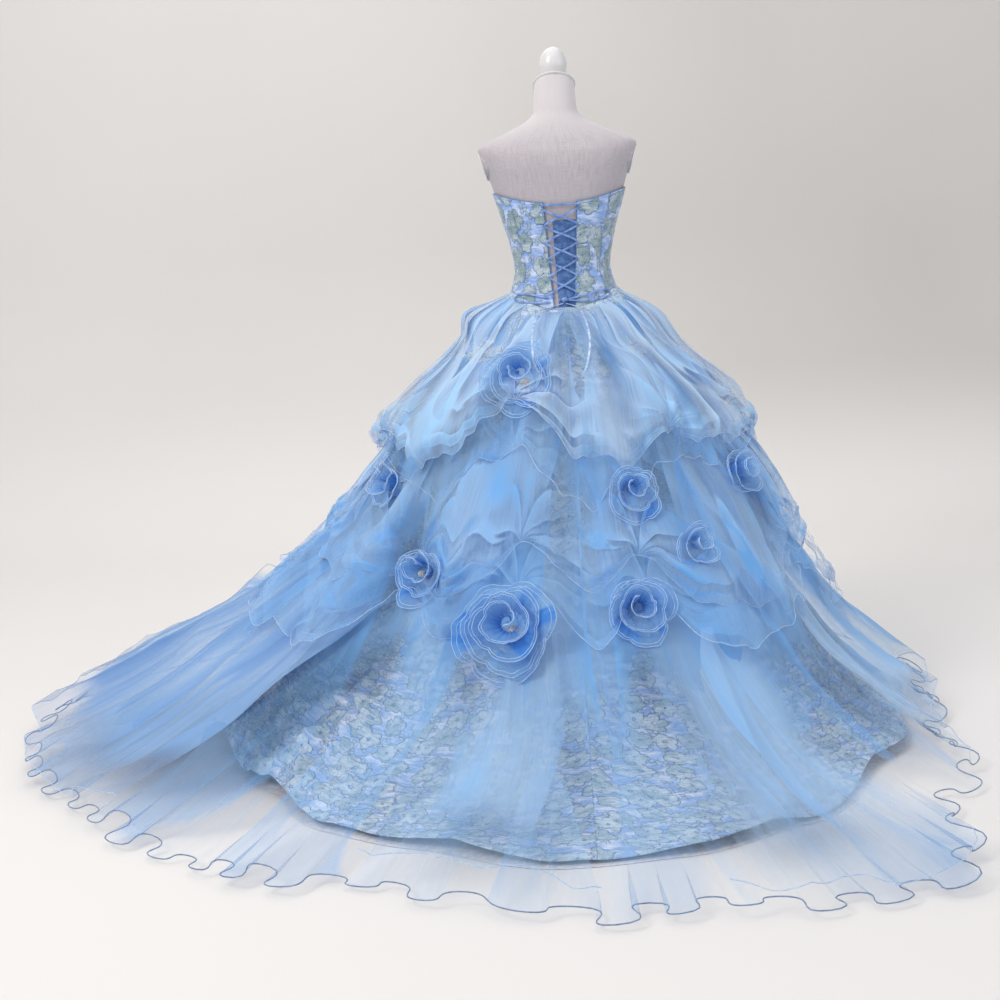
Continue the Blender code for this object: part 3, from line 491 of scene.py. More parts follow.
# ------------------------------------------------------------------ meshes
def grid_mesh(
    name: str,
    grid: Array,
    material: Material,
    closed: bool = False,
    cut: Array | None = None,
    gather: Array | None = None,
    spokes: Array | None = None,
    traits: dict[str, Array] | None = None,
    inner: Array | None = None,
) -> Thing:
    """Make a cloth mesh from a grid of points whose rows run down and whose columns run round.

    Args:
        name: The piece's name.
        grid: Points of shape (rows, columns, 3).
        material: Its finish.
        closed: Whether the last column joins the first.
        cut: UV of shape (rows, columns + closed, 2), in metres on the flat cloth.
        gather: UV of the same shape, across and along the gathers.
        spokes: UV of the same shape, round and away from the nearest gathered place.
        traits: Numbers at each point that the finish reads, by name.
        inner: A second grid for a wall with a thickness, on the cloth's inside.

    Returns:
        The new object.
    """
    rows, columns = grid.shape[:2]
    steps = columns if closed else columns - 1
    i, j = np.meshgrid(np.arange(rows - 1), np.arange(steps), indexing="ij")
    k = (j + 1) % columns
    quads = np.stack(
        [i * columns + j, i * columns + k, (i + 1) * columns + k, (i + 1) * columns + j], -1
    ).reshape(-1, 4)
    places = np.stack([
        np.stack([i, j], -1), np.stack([i, j + 1], -1), np.stack([i + 1, j + 1], -1), np.stack([i + 1, j], -1)
    ], 2).reshape(-1, 2)
    points = grid.reshape(-1, 3)
    if inner is not None:
        far = rows * columns
        edges, sides = rim(rows, columns, closed)
        edge_quads = (edges[:, 0] * columns + edges[:, 1] % columns + sides * far).reshape(-1, 4)
        places = np.concatenate([places, places.reshape(-1, 4, 2)[:, ::-1].reshape(-1, 2), edges])
        quads = np.concatenate([quads, quads[:, ::-1] + far, edge_quads])
        points = np.concatenate([points, inner.reshape(-1, 3)])
    mesh = bpy.data.meshes.new(name)
    mesh.vertices.add(len(points))
    mesh.vertices.foreach_set("co", np.ascontiguousarray(points, np.float32).ravel())
    mesh.loops.add(quads.size)
    mesh.loops.foreach_set("vertex_index", quads.astype(np.int32).ravel())
    mesh.polygons.add(len(quads))
    mesh.polygons.foreach_set("loop_start", np.arange(0, quads.size, 4, dtype=np.int32))
    mesh.update(calc_edges=True)
    mesh.shade_smooth()
    if inner is not None:
        pairs = np.empty(len(mesh.edges) * 2, np.int32)
        mesh.edges.foreach_get("vertices", pairs)
        i, j = np.divmod(pairs.reshape(-1, 2) % far, columns)
        border = (i == 0) | (i == rows - 1) | (not closed) & ((j == 0) | (j == columns - 1))
        sharp = border.all(1) & (pairs.reshape(-1, 2) // far == pairs.reshape(-1, 2)[:, :1] // far).all(1)
        mesh.attributes.new("sharp_edge", "BOOLEAN", "EDGE").data.foreach_set("value", sharp)
    for layer, values in (("cut", cut), ("gather", gather), ("spokes", spokes)):
        if values is not None:
            mesh.uv_layers.new(name=layer).data.foreach_set(
                "uv", np.ascontiguousarray(values[places[:, 0], places[:, 1]], np.float32).ravel()
            )
    for label, amount in (traits or {}).items():
        mesh.attributes.new(label, "FLOAT", "POINT").data.foreach_set(
            "value", amount.astype(np.float32).ravel()
        )
    mesh.materials.append(material)
    return place(bpy.data.objects.new(name, mesh))


def rim(rows: int, columns: int, closed: bool) -> tuple[Array, Array]:
    """The faces that join a wall's two sides: each corner's place on the grid, and its side.

    Args:
        rows: The grid's rows.
        columns: The grid's columns.
        closed: Whether the last column joins the first.

    Returns:
        Each corner's place on the grid, and its side: 0 outside, 1 inside.
    """
    steps, down = np.arange(columns if closed else columns - 1), np.arange(rows - 1)
    strips = [(steps * 0, steps, 0, 1, 1), (steps * 0 + rows - 1, steps, 0, 1, 0)]
    if not closed:
        strips += [(down, down * 0, 1, 0, 0), (down, down * 0 + columns - 1, 1, 0, 1)]
    places, sides = [], []
    for row, column, below, beside, far in strips:
        near, ahead = np.stack([row, column], -1), np.stack([row + below, column + beside], -1)
        places.append(np.stack([near, ahead, ahead, near], 1).reshape(-1, 2))
        sides.append(np.tile([far, far, 1 - far, 1 - far], len(row)))
    return np.concatenate(places), np.concatenate(sides)


def place(thing: Thing) -> Thing:
    """Link an object to the scene."""
    bpy.context.scene.collection.objects.link(thing)
    return thing


def capped(name: str, rings: Array, material: Material) -> Thing:
    """A closed solid through rings of points, its two ends drawn to their middles.

    Args:
        name: The piece's name.
        rings: Rings of points, from end to end.
        material: Its finish.

    Returns:
        The solid.
    """
    ends = [np.repeat(rings[i].mean(0, keepdims=True), rings.shape[1], 0)[None] for i in (0, -1)]
    steps = np.arange(len(rings) + 2)[:, None] * 0.01
    turns = np.linspace(0, 1, rings.shape[1] + 1)[None]
    cut = np.stack(np.broadcast_arrays(turns * 0.1, steps), -1)
    made = grid_mesh(name, np.concatenate([ends[0], rings, ends[1]]), material, closed=True, cut=cut)
    weld(made)
    return made


def weld(thing: Thing) -> None:
    """Merge doubled points, such as a pole's, and point the faces out.

    Args:
        thing: A closed mesh object, changed in place.
    """
    built = bmesh.new()
    built.from_mesh(thing.data)
    bmesh.ops.remove_doubles(built, verts=built.verts, dist=1e-6)
    bmesh.ops.dissolve_degenerate(built, edges=built.edges, dist=1e-7)
    bmesh.ops.recalc_face_normals(built, faces=built.faces)
    if built.calc_volume(signed=True) < 0:
        bmesh.ops.reverse_faces(built, faces=built.faces)
    built.to_mesh(thing.data)
    built.free()


def band_grid(path: Array, normals: Array, width: Array | float, thickness: float) -> Array:
    """Rings of a flat band's rounded section along a path, its flat side facing the normals.

    Args:
        path: The band's middle line.
        normals: Which way its flat side faces.
        width: The band's width.
        thickness: Its thickness.

    Returns:
        A ring of eight points at each point of the path.
    """
    ahead = unit(np.gradient(path, axis=0))
    across = unit(np.cross(ahead, normals))
    up = np.cross(across, ahead)
    half = np.broadcast_to(np.asarray(width, float), (len(path),))[:, None] / 2
    corners = ((-0.82, -1), (0.82, -1), (1, -0.4), (1, 0.4), (0.82, 1), (-0.82, 1), (-1, 0.4), (-1, -0.4))
    return np.stack([path + across * half * u + up * (v * thickness / 2) for u, v in corners], 1)


# ------------------------------------------------------------------ shader and geometry trees
# Nodes by short name: type, own settings, the inputs that terms fill in turn, and the output
# that is handed on. Any other name that isn't a node's type is an operation of the Math node.
NOISE_TERMS = ("Vector", "Scale", "Detail", "Roughness")
KINDS = {
    "BLEND": ("ShaderNodeMix", {"data_type": "RGBA"}, (0, 6, 7), 2),
    "MIX": ("ShaderNodeMix", {"data_type": "FLOAT"}, (0, 2, 3), 0),
    "RAMP": ("ShaderNodeMapRange", {"interpolation_type": "SMOOTHSTEP"}, (0, 1, 2, 3, 4), 0),
    "CLAMP": ("ShaderNodeClamp", {}, (0, 1, 2), 0),
    "NOISE": ("ShaderNodeTexNoise", {}, NOISE_TERMS, 0),
    "FLAT_NOISE": ("ShaderNodeTexNoise", {"noise_dimensions": "2D"}, NOISE_TERMS, 0),
    "BUMP": ("ShaderNodeBump", {}, ("Height", "Strength", "Distance"), 0),
    "TRAIT": ("ShaderNodeAttribute", {}, (), "Fac"),
}


def feed(node: bpy.types.Node, terms: dict[str | int, object]) -> None:
    """Fill a node's inputs: sockets are linked, hex colours turned linear, the rest constants.

    Args:
        node: The node.
        terms: Sockets, hex colours and constants by input.
    """
    for key, term in terms.items():
        target = node.inputs[key]
        if isinstance(term, Socket):
            node.id_data.links.new(term, target)
        else:
            target.default_value = linear(term) if target.type == "RGBA" else term


def add_node(
    tree: bpy.types.NodeTree, kind: str, *terms: object, out: str | int | None = None, **settings: object
) -> Socket | None:
    """Add a node with its settings and links.

    Args:
        tree: The tree that it joins.
        kind: A short name from KINDS, an operation of the Math node or a node's type.
        terms: Sockets and constants in the order of its inputs, or one dict of them by input.
        out: The output to hand on, where it isn't the usual one.
        settings: The node's own properties.

    Returns:
        The output that other nodes read, if it has any; the others are on its node.
    """
    named = (kind, {}, (), 0) if "Node" in kind else ("ShaderNodeMath", {"operation": kind}, (0, 1, 2), 0)
    node_type, preset, order, usual = KINDS.get(kind, named)
    node = tree.nodes.new(node_type)
    for key, value in {**preset, **settings}.items():
        setattr(node, key, value)
    feed(node, terms[0] if terms and isinstance(terms[0], dict) else dict(zip(order, terms)))
    return node.outputs[usual if out is None else out] if node.outputs else None


def new_material(name: str) -> tuple[Material, Adder, bpy.types.Node]:
    """A new material, the function that adds a node to its tree, and its Principled shader.

    Args:
        name: The material's name.

    Returns:
        The material, what adds a node to its tree, and its Principled shader.
    """
    made = bpy.data.materials.new(name)
    made.use_nodes = True
    return made, partial(add_node, made.node_tree), made.node_tree.nodes["Principled BSDF"]


def coordinates(
    add: Adder, layer: str | None, scale: tuple[float, float, float] = (1, 1, 1), turn: float = 0.0
) -> Socket:
    """A pattern's coordinates: a UV layer or Object space, scaled to the pattern's own size."""
    source = add("ShaderNodeUVMap", uv_map=layer) if layer else add("ShaderNodeTexCoord", out="Object")
    return add("ShaderNodeMapping", {"Scale": scale, "Rotation": (0, 0, turn), "Vector": source})


# ------------------------------------------------------------------ finishes
@dataclass(frozen=True)
class Tulle:
    """Nylon tulle: fine hexagonal net, matte, seen through where it lies in one layer.

    Its holes are about 1 mm, too fine to show, so they are an even transparency. Where gathers
    crowd the threads together it turns denser, which shows as streaks along the cloth.
    """

    name: str
    colour: str
    dense_and_shaded_colour: str
    cover: float
    crowding: float
    streaks: float
    streak_count: float = 190.0
    run: float = 0.9
    swags: bool = False
    patches: float = 0.9

    def folds(
        self, add: Adder, layer: str, size: float, sheets: float, turn: float = 0.0
    ) -> tuple[Socket, Socket]:
        """Loose folds that lie over each other: each has a sharp edge and thins out behind it.

        Args:
            add: Adds a node to the material's tree.
            layer: The UV layer that they run along.
            size: Share of the streak count that they have.
            sheets: How many lie over each other.
            turn: How far they slant, in radians.

        Returns:
            The folds' density and their edges, from 0 to 1.
        """
        one_fold = (1 / (self.streak_count * size), 1 / self.run, 1.0)
        uv = add("ShaderNodeUVMap", uv_map=layer)
        place_at = add(
            "ShaderNodeMapping", {
                "Scale": one_fold, "Rotation": (0, 0, turn), "Vector": uv
            }, vector_type="TEXTURE"
        )
        noise = add("FLAT_NOISE", place_at, 1.0, 0.6)
        saw = add("FRACT", add("MULTIPLY", noise, sheets))
        # The last tenth falls back, so the edge is crisp but not cut.
        soft = add("MULTIPLY", saw, add("RAMP", saw, 1.0, 0.93))
        return soft, add("POWER", soft, 6.0)

    def make(self) -> Material:
        """Build the material.

        Returns:
            The finished material.
        """
        material, add, shader = new_material(self.name)
        fine = add(
            "FLAT_NOISE", coordinates(add, "gather", (self.streak_count * 1.5, 5.0, 1.0)), 1.0, 1.0, 0.7
        )
        cloud = add("FLAT_NOISE", coordinates(add, "gather", (7.0, 2.2 * self.run, 1.0)), 1.0, 0.5)
        patch = add("RAMP", cloud, 0.34, 0.68)
        broad, broad_edge = self.folds(add, "gather", 0.055, 4.0)
        slim, slant = (0.05, 0.55) if self.swags else (0.16, 0.0)
        narrow, narrow_edge = self.folds(add, "gather", slim, 3.0, slant)
        if self.swags:
            swag = add("RAMP", add("TRAIT", attribute_name="swag"), 0.30, 0.62)
            other, other_edge = self.folds(add, "spokes", 0.10, 4.0)
            broad = add("MIX", swag, broad, other)
            broad_edge = add("MIX", swag, broad_edge, other_edge)
        density = add("MULTIPLY_ADD", broad, 0.60, add("MULTIPLY", narrow, 0.25))
        density = add("MULTIPLY_ADD", fine, 0.38, density)
        centred = add("SUBTRACT", density, 0.57)
        edges = add("MULTIPLY_ADD", narrow_edge, 0.35, add("MULTIPLY", broad_edge, 0.65))
        fold = add("TRAIT", attribute_name="fold")
        layers = add("TRAIT", attribute_name="layers")
        thin = add("TRAIT", attribute_name="thin")
        cover = add("MULTIPLY_ADD", centred, self.streaks * 1.9, self.cover)
        cover = add("MULTIPLY_ADD", edges, self.streaks * 1.2, cover)
        cover = add("MULTIPLY_ADD", fold, self.crowding, cover)
        cover = add("MULTIPLY_ADD", add("SUBTRACT", patch, 0.5), self.cover * self.patches, cover)
        cover = add("ADD", cover, layers)
        cover = add("MULTIPLY", cover, add("SUBTRACT", 1.0, thin))
        # Where the net is denser its colour deepens. This is partly the crowded net's own deeper blue and
        # partly painted shade: in the folds, where the layers lie together and at a rosette's base.
        depth = add("MULTIPLY_ADD", centred, 1.1, add("MULTIPLY", patch, 0.55))
        depth = add("ADD", depth, add("MULTIPLY_ADD", edges, 0.35, 0.0))
        depth = add("MULTIPLY_ADD", fold, 0.55, add("MULTIPLY_ADD", layers, 0.6, depth))
        feed(shader, {
            "Alpha": add("CLAMP", cover, 0.02, 0.97),
            "Base Color": add("BLEND", add("CLAMP", depth, 0, 1), self.colour, self.dense_and_shaded_colour),
            "Roughness": 0.75, "Sheen Weight": 0.25, "Sheen Roughness": 0.4, "Specular IOR Level": 0.25,
        })
        return material


@dataclass(frozen=True)
class Brocade:
    """Polyester floral brocade: a satin ground with raised five-petalled flowers and leaves.

    The ground catches light in long puckers, and their crests are also painted pale as a highlight;
    the flowers are a flat, duller weave with a darker outline thread.
    outline thread. A flower is 45 mm across and one stands about every 60 mm.
    """

    name: str = "floral_brocade_satin"
    ground: str = "93B4EA"
    highlight_and_speck: str = "D9E6FC"
    flower: str = "8CA3A2"
    pale_flower: str = "B9C9CC"
    leaf: str = "A6BAC1"
    outline: str = "5276AC"
    flower_step: float = 0.058
    pucker: float = 1.0

    def motif(
        self, add: Adder, step: float, petals: float, size: float, turn: float
    ) -> tuple[Socket, Socket]:
        """Scatter petalled shapes over the cut cloth.

        Args:
            add: Adds a node to the material's tree.
            step: Distance between shapes, in metres.
            petals: Petals of one shape.
            size: Its radius as a share of the step.
            turn: Turn of the scatter, in radians.

        Returns:
            How far inside a shape each place is, and the shape's own random number.
        """
        place_at = coordinates(add, "cut", (1 / step, 1 / step, 1.0), turn)
        cell = add(
            "ShaderNodeTexVoronoi", {"Scale": 1.0, "Randomness": 0.62, "Vector": place_at},
            voronoi_dimensions="2D",
        ).node.outputs
        wobble = add("FLAT_NOISE", place_at, 3.6, 1.6)
        apart = add("ShaderNodeVectorMath", {0: place_at, 1: cell["Position"]}, operation="SUBTRACT")
        parts = add("ShaderNodeSeparateXYZ", {0: apart}).node.outputs
        chance = add("ShaderNodeSeparateColor", {0: cell["Color"]})
        angle = add("ARCTAN2", parts[1], parts[0])
        sector = add("FRACT", add("MULTIPLY_ADD", angle, petals / (2 * math.pi), add("ADD", chance, 2.0)))
        turned = add("COSINE", add("MULTIPLY", add("SUBTRACT", sector, 0.5), 2 * math.pi / petals))
        ring, reach = 0.56 * size, 0.46 * size
        # The law of cosines gives the distance to the middle of the nearest petal.
        square = add("MULTIPLY_ADD", cell["Distance"], cell["Distance"], ring * ring)
        square = add("SUBTRACT", square, add("MULTIPLY", add("MULTIPLY", cell["Distance"], turned), 2 * ring))
        from_petal = add("SQRT", add("MAXIMUM", square, 0.0))
        grown = add("MULTIPLY_ADD", add("SUBTRACT", wobble, 0.5), 0.45 * size, reach)
        return add("SUBTRACT", grown, from_petal), chance

    def make(self) -> Material:
        """Build the material.

        Returns:
            The finished material.
        """
        material, add, shader = new_material(self.name)
        big, _ = self.motif(add, self.flower_step, 5.0, 0.46, 0.35)
        small, small_chance = self.motif(add, self.flower_step * 0.47, 3.0, 0.42, 1.1)
        flower, leaf = add("RAMP", big, -0.015, 0.03), add("RAMP", small, -0.02, 0.06)
        kept = add("GREATER_THAN", small_chance, 0.38)
        leaf = add("MULTIPLY", leaf, kept)
        rim = add("RAMP", add("ABSOLUTE", big), 0.028, 0.008)
        inner_rim = add("RAMP", add("ABSOLUTE", add("SUBTRACT", big, 0.07)), 0.020, 0.005)
        small_rim = add("MULTIPLY", add("RAMP", add("ABSOLUTE", small), 0.060, 0.015), kept)
        # A heart at each flower's middle and veins across its petals, 3 mm apart.
        heart = add("RAMP", big, 0.13, 0.19)
        veins = add("FLAT_NOISE", coordinates(add, "cut", (330, 330, 1)), 1.0, 1.0, 0.7)
        # The satin's puckers run across the cloth, a few centimetres long.
        pucker = add("FLAT_NOISE", coordinates(add, "cut", (15, 48, 1)), 1.0, 2.0, 0.55)
        tone = add("FLAT_NOISE", coordinates(add, "cut", (24, 24, 1)), 1.0, 1.0)
        ribs = {
            "Scale": 1.0, "Distortion": 1.5, "Detail": 1.0, "Vector": coordinates(add, "cut", (0, 420, 0))
        }
        weft = add("ShaderNodeTexWave", ribs, bands_direction="Y", out="Fac")
        # Painted highlight: the puckers' crests are painted in the pale highlight colour, besides their bump.
        ground = add("BLEND", add("RAMP", pucker, 0.40, 0.66, 0.0, 0.8), self.ground, self.highlight_and_speck)
        ground = add("BLEND", add("MULTIPLY", weft, 0.10), ground, self.outline)
        petals = add("BLEND", add("RAMP", tone, 0.38, 0.62), self.flower, self.pale_flower)
        # The veins fleck the petals with the same pale colour, as specks of the flowers' own thread.
        petals = add("BLEND", add("RAMP", veins, 0.48, 0.72, 0.0, 0.4), petals, self.highlight_and_speck)
        petals = add("BLEND", add("MULTIPLY", inner_rim, 0.35), petals, self.outline)
        petals = add("BLEND", add("MULTIPLY", heart, 0.2), petals, self.outline)
        colour = add("BLEND", add("MULTIPLY", leaf, 0.75), ground, self.leaf)
        colour = add("BLEND", add("MULTIPLY", small_rim, 0.45), colour, self.outline)
        colour = add("BLEND", flower, colour, petals)
        colour = add("BLEND", add("MULTIPLY", rim, 0.62), colour, self.outline)
        shape = add("MAXIMUM", flower, add("MULTIPLY", leaf, 0.6))
        height = add("MULTIPLY_ADD", shape, 0.35, add("MULTIPLY", veins, 0.10))
        height = add("MULTIPLY_ADD", pucker, 1.3 * self.pucker, height)
        feed(shader, {
            "Base Color": colour, "Roughness": add("MULTIPLY_ADD", shape, 0.36, 0.24),
            "Normal": add("BUMP", height, 0.9, 0.009), "Sheen Weight": 0.15,
        })
        return material


@dataclass(frozen=True)
class Satin:
    """Polyester satin ribbon or cloth: smooth, with a soft gloss along its fine ribs."""

    name: str
    colour: str
    shade: str
    roughness: float = 0.36

    def make(self) -> Material:
        """Build the material.

        Returns:
            The finished material.
        """
        material, add, shader = new_material(self.name)
        cloud = add("NOISE", coordinates(add, None), 70.0, 3.0, 0.6)
        ribs = add("NOISE", coordinates(add, None, (900, 900, 150)), 1.0, 1.0)
        height = add("MULTIPLY_ADD", cloud, 0.7, add("MULTIPLY", ribs, 0.3))
        # Painted highlight and shade: the cloud paints the satin pale in some patches and darker in others,
        # besides its roughness and bump.
        feed(shader, {
            "Base Color": add("BLEND", add("RAMP", cloud, 0.35, 0.68), self.shade, self.colour),
            "Roughness": add("MULTIPLY_ADD", cloud, 0.2, self.roughness - 0.1),
            "Normal": add("BUMP", height, 0.35, 0.0012), "Sheen Weight": 0.2,
        })
        return material


@dataclass(frozen=True)
class Linen:
    """Linen cover of the dress form: plain weave with long upright slubs.

    Threads are 0.8 mm apart, drawn 1.6 mm apart so that they show; slubs are 2 to 5 cm long.
    """

    name: str = "linen_cover"
    colour: str = "C1BBBF"
    shade: str = "B2AAB0"
    slub: str = "A49BA1"
    painted_top_light: str = "E4DEDF"

    def make(self) -> Material:
        """Build the material.

        Returns:
            The finished material.
        """
        material, add, shader = new_material(self.name)
        warp = add("NOISE", coordinates(add, "cut", (620, 26, 1)), 1.0, 2.0)
        weft = add("NOISE", coordinates(add, "cut", (40, 620, 1)), 1.0, 2.0)
        slubs = add("NOISE", coordinates(add, "cut", (230, 22, 1)), 1.0, 1.5)
        cloud = add("NOISE", coordinates(add, None), 9.0, 3.0)
        weave = add("MULTIPLY_ADD", warp, 0.6, add("MULTIPLY", weft, 0.4))
        colour = add("BLEND", add("RAMP", weave, 0.36, 0.62), self.shade, self.colour)
        colour = add("BLEND", add("MULTIPLY", add("RAMP", slubs, 0.56, 0.72), 0.45), colour, self.slub)
        colour = add("BLEND", add("MULTIPLY", add("RAMP", cloud, 0.4, 0.7), 0.25), colour, self.shade)
        # Painted light: the shoulders and the neck are painted paler, as the light from above falls there.
        high = add("ShaderNodeSeparateXYZ", {0: coordinates(add, None)}, out=2)
        colour = add("BLEND", add("RAMP", high, 1.36, 1.53, 0.0, 0.85), colour, self.painted_top_light)
        height = add("MULTIPLY_ADD", slubs, 0.6, weave)
        bump = add("BUMP", height, 0.4, 0.0012)
        feed(shader, {"Base Color": colour, "Normal": bump, "Roughness": 0.85, "Sheen Weight": 0.2})
        return material


@dataclass(frozen=True)
class Enamel:
    """White paint on turned wood or steel: sprayed, slightly uneven, with worn duller patches."""

    name: str
    colour: str = "DEDDDD"
    roughness: float = 0.2
    worn: str = "CFCBCB"

    def make(self) -> Material:
        """Build the material.

        Returns:
            The finished material.
        """
        material, add, shader = new_material(self.name)
        spray = add("NOISE", coordinates(add, None), 260.0, 2.0)
        wear = add("NOISE", coordinates(add, None), 28.0, 4.0)
        feed(shader, {
            "Base Color": add("BLEND", add("RAMP", wear, 0.5, 0.8, 0.0, 0.35), self.colour, self.worn),
            "Roughness": add("RAMP", wear, 0.35, 0.75, self.roughness, self.roughness + 0.2),
            "Normal": add("BUMP", spray, 0.12, 0.0006), "Coat Weight": 0.3,
        })
        return material


@dataclass(frozen=True)
class Backdrop:
    """Matte studio paper: pale on the floor, with painted shade up the wall and away from the window."""

    name: str
    colour: str
    shade: str
    far_shade: str

    def make(self) -> Material:
        """Build the material.

        Returns:
            The finished material.
        """
        material, add, shader = new_material(self.name)
        cloud = add("NOISE", coordinates(add, None), 0.5, 2.0)
        parts = add("ShaderNodeSeparateXYZ", {0: coordinates(add, None)}).node.outputs
        # Painted shade: the wall is darker towards -X, away from the window light, and the pale floor colour
        # gives way to it up the sweep.
        wall = add("BLEND", add("RAMP", parts[0], -2.4, 2.6), self.far_shade, self.shade)
        wall = add("BLEND", add("RAMP", cloud, 0.3, 0.7, 0.0, 0.3), wall, self.colour)
        paper = add("BLEND", add("RAMP", parts[2], 0.0, 0.6), self.colour, wall)
        feed(shader, {"Base Color": paper, "Roughness": 0.9, "Specular IOR Level": 0.1})
        return material


# ------------------------------------------------------------------ trims made by geometry nodes
class TrimKind(Enum):
    """What a trim tree runs along its path."""

    WIRE = "wire"
    STITCHES = "stitches"
    LOOPS = "loops"


@dataclass
class Trim:
    """A thread, wire, row of stitches or row of loops along paths on the gown."""

    kind: TrimKind
    radius: float
    spacing: float
    sides: int = 6
    reach: float = 0.003

    def tree(self) -> bpy.types.NodeTree:
        """Build the geometry tree, with its sizes as named inputs.

        Returns:
            The tree; its inputs are Radius, Spacing, Sides, Reach and Finish.
        """
        tree = bpy.data.node_groups.new(f"trim_{self.kind.value}", "GeometryNodeTree")
        add = partial(add_node, tree)
        face = tree.interface
        face.new_socket("Geometry", in_out="INPUT", socket_type="NodeSocketGeometry")
        for label, kind in (
            ("Radius", "Float"), ("Spacing", "Float"), ("Sides", "Int"), ("Reach", "Float"),
            ("Finish", "Material"),
        ):
            face.new_socket(label, in_out="INPUT", socket_type=f"NodeSocket{kind}")
        face.new_socket("Geometry", in_out="OUTPUT", socket_type="NodeSocketGeometry")
        given = add("NodeGroupInput").node.outputs
        ring = add(
            "GeometryNodeCurvePrimitiveCircle", {"Resolution": given["Sides"], "Radius": given["Radius"]}
        )
        if self.kind is TrimKind.LOOPS:
            hoop = add("GeometryNodeCurvePrimitiveCircle", {"Resolution": 14, "Radius": given["Reach"]})
            piece = add("GeometryNodeCurveToMesh", {"Curve": hoop, "Profile Curve": ring})
            out = add(
                "GeometryNodeInputNamedAttribute", {"Name": "out"}, data_type="FLOAT_VECTOR", out="Attribute"
            )
            turn = add("FunctionNodeAlignRotationToVector", {"Vector": out}, axis="Y")
            shape = add(
                "GeometryNodeInstanceOnPoints",
                {"Points": given["Geometry"], "Instance": piece, "Rotation": turn},
            )
        else:
            path = add("GeometryNodeMeshToCurve", {"Mesh": given["Geometry"]})
            if self.kind is TrimKind.WIRE:
                path = add(
                    "GeometryNodeResampleCurve", {"Curve": path, "Length": given["Spacing"]}, mode="LENGTH"
                )
                shape = add(
                    "GeometryNodeCurveToMesh", {"Fill Caps": True, "Curve": path, "Profile Curve": ring}
                )
            else:
                points = add(
                    "GeometryNodeCurveToPoints", {"Curve": path, "Length": given["Spacing"]}, mode="LENGTH"
                ).node.outputs
                grain = add(
                    "GeometryNodeMeshCylinder",
                    {"Vertices": 5, "Radius": given["Radius"], "Depth": given["Reach"]},
                )
                shape = add(
                    "GeometryNodeInstanceOnPoints",
                    {"Points": points["Points"], "Instance": grain, "Rotation": points["Rotation"]},
                )
        whole = add("GeometryNodeRealizeInstances", {"Geometry": shape})
        smooth = add("GeometryNodeSetShadeSmooth", {"Geometry": whole})
        add(
            "NodeGroupOutput",
            {0: add("GeometryNodeSetMaterial", {"Geometry": smooth, "Material": given["Finish"]})},
        )
        return tree

    def along(
        self, name: str, paths: Sequence[Array], material: Material, closed: bool = False,
        out: Array | None = None,
    ) -> Thing:
        """Run the trim along paths and turn it into a plain mesh.

        Args:
            name: The piece's name.
            paths: Each path's points in order.
            material: The trim's finish.
            closed: Whether each path joins its own end.
            out: For loops, the direction each stands in.

        Returns:
            The trim as a mesh object.
        """
        points = np.concatenate(paths)
        edges, start = [], 0
        for path in paths:
            count = len(path)
            edges += [(start + i, start + i + 1) for i in range(count - 1)]
            edges += [(start + count - 1, start)] if closed else []
            start += count
        mesh = bpy.data.meshes.new(f"{name}_path")
        mesh.from_pydata(points.tolist(), [] if self.kind is TrimKind.LOOPS else edges, [])
        if out is not None:
            mesh.attributes.new("out", "FLOAT_VECTOR", "POINT").data.foreach_set(
                "vector", out.astype(np.float32).ravel()
            )
        carrier = place(bpy.data.objects.new(f"{name}_path", mesh))
        modifier = carrier.modifiers.new("trim", "NODES")
        tree = self.tree()
        modifier.node_group = tree
        sizes = {
            "Radius": self.radius, "Spacing": self.spacing, "Sides": self.sides, "Reach": self.reach,
            "Finish": material,
        }
        for item in tree.interface.items_tree:
            if item.in_out == "INPUT" and item.name in sizes:
                modifier[item.identifier] = sizes[item.name]
        carrier.update_tag()
        bpy.context.view_layer.update()
        graph = bpy.context.evaluated_depsgraph_get()
        baked = bpy.data.meshes.new_from_object(carrier.evaluated_get(graph))
        bpy.data.objects.remove(carrier)
        return place(bpy.data.objects.new(name, baked))


# ------------------------------------------------------------------ dressing pieces
def dress(thing: Thing, slot: str, *nodes: str) -> Thing:
    """Let a piece ride on the gown, hide the solids that it stands for and log the piece.

    Args:
        thing: The piece.
        slot: Not used.
        nodes: The solids that it stands for.

    Returns:
        The same piece.
    """
    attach(thing, BODY)
    if nodes:
        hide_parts(*nodes)
    LOG.info(
        "%s: %d faces%s", thing.name, len(thing.data.polygons), f", for {', '.join(nodes)}" if nodes else ""
    )
    return thing


def middle_and_half(node: str) -> tuple[Array, Array]:
    """The middle of a solid's box, and half of its size."""
    low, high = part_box(node)
    return np.array((low + high) / 2), np.array((high - low) / 2)


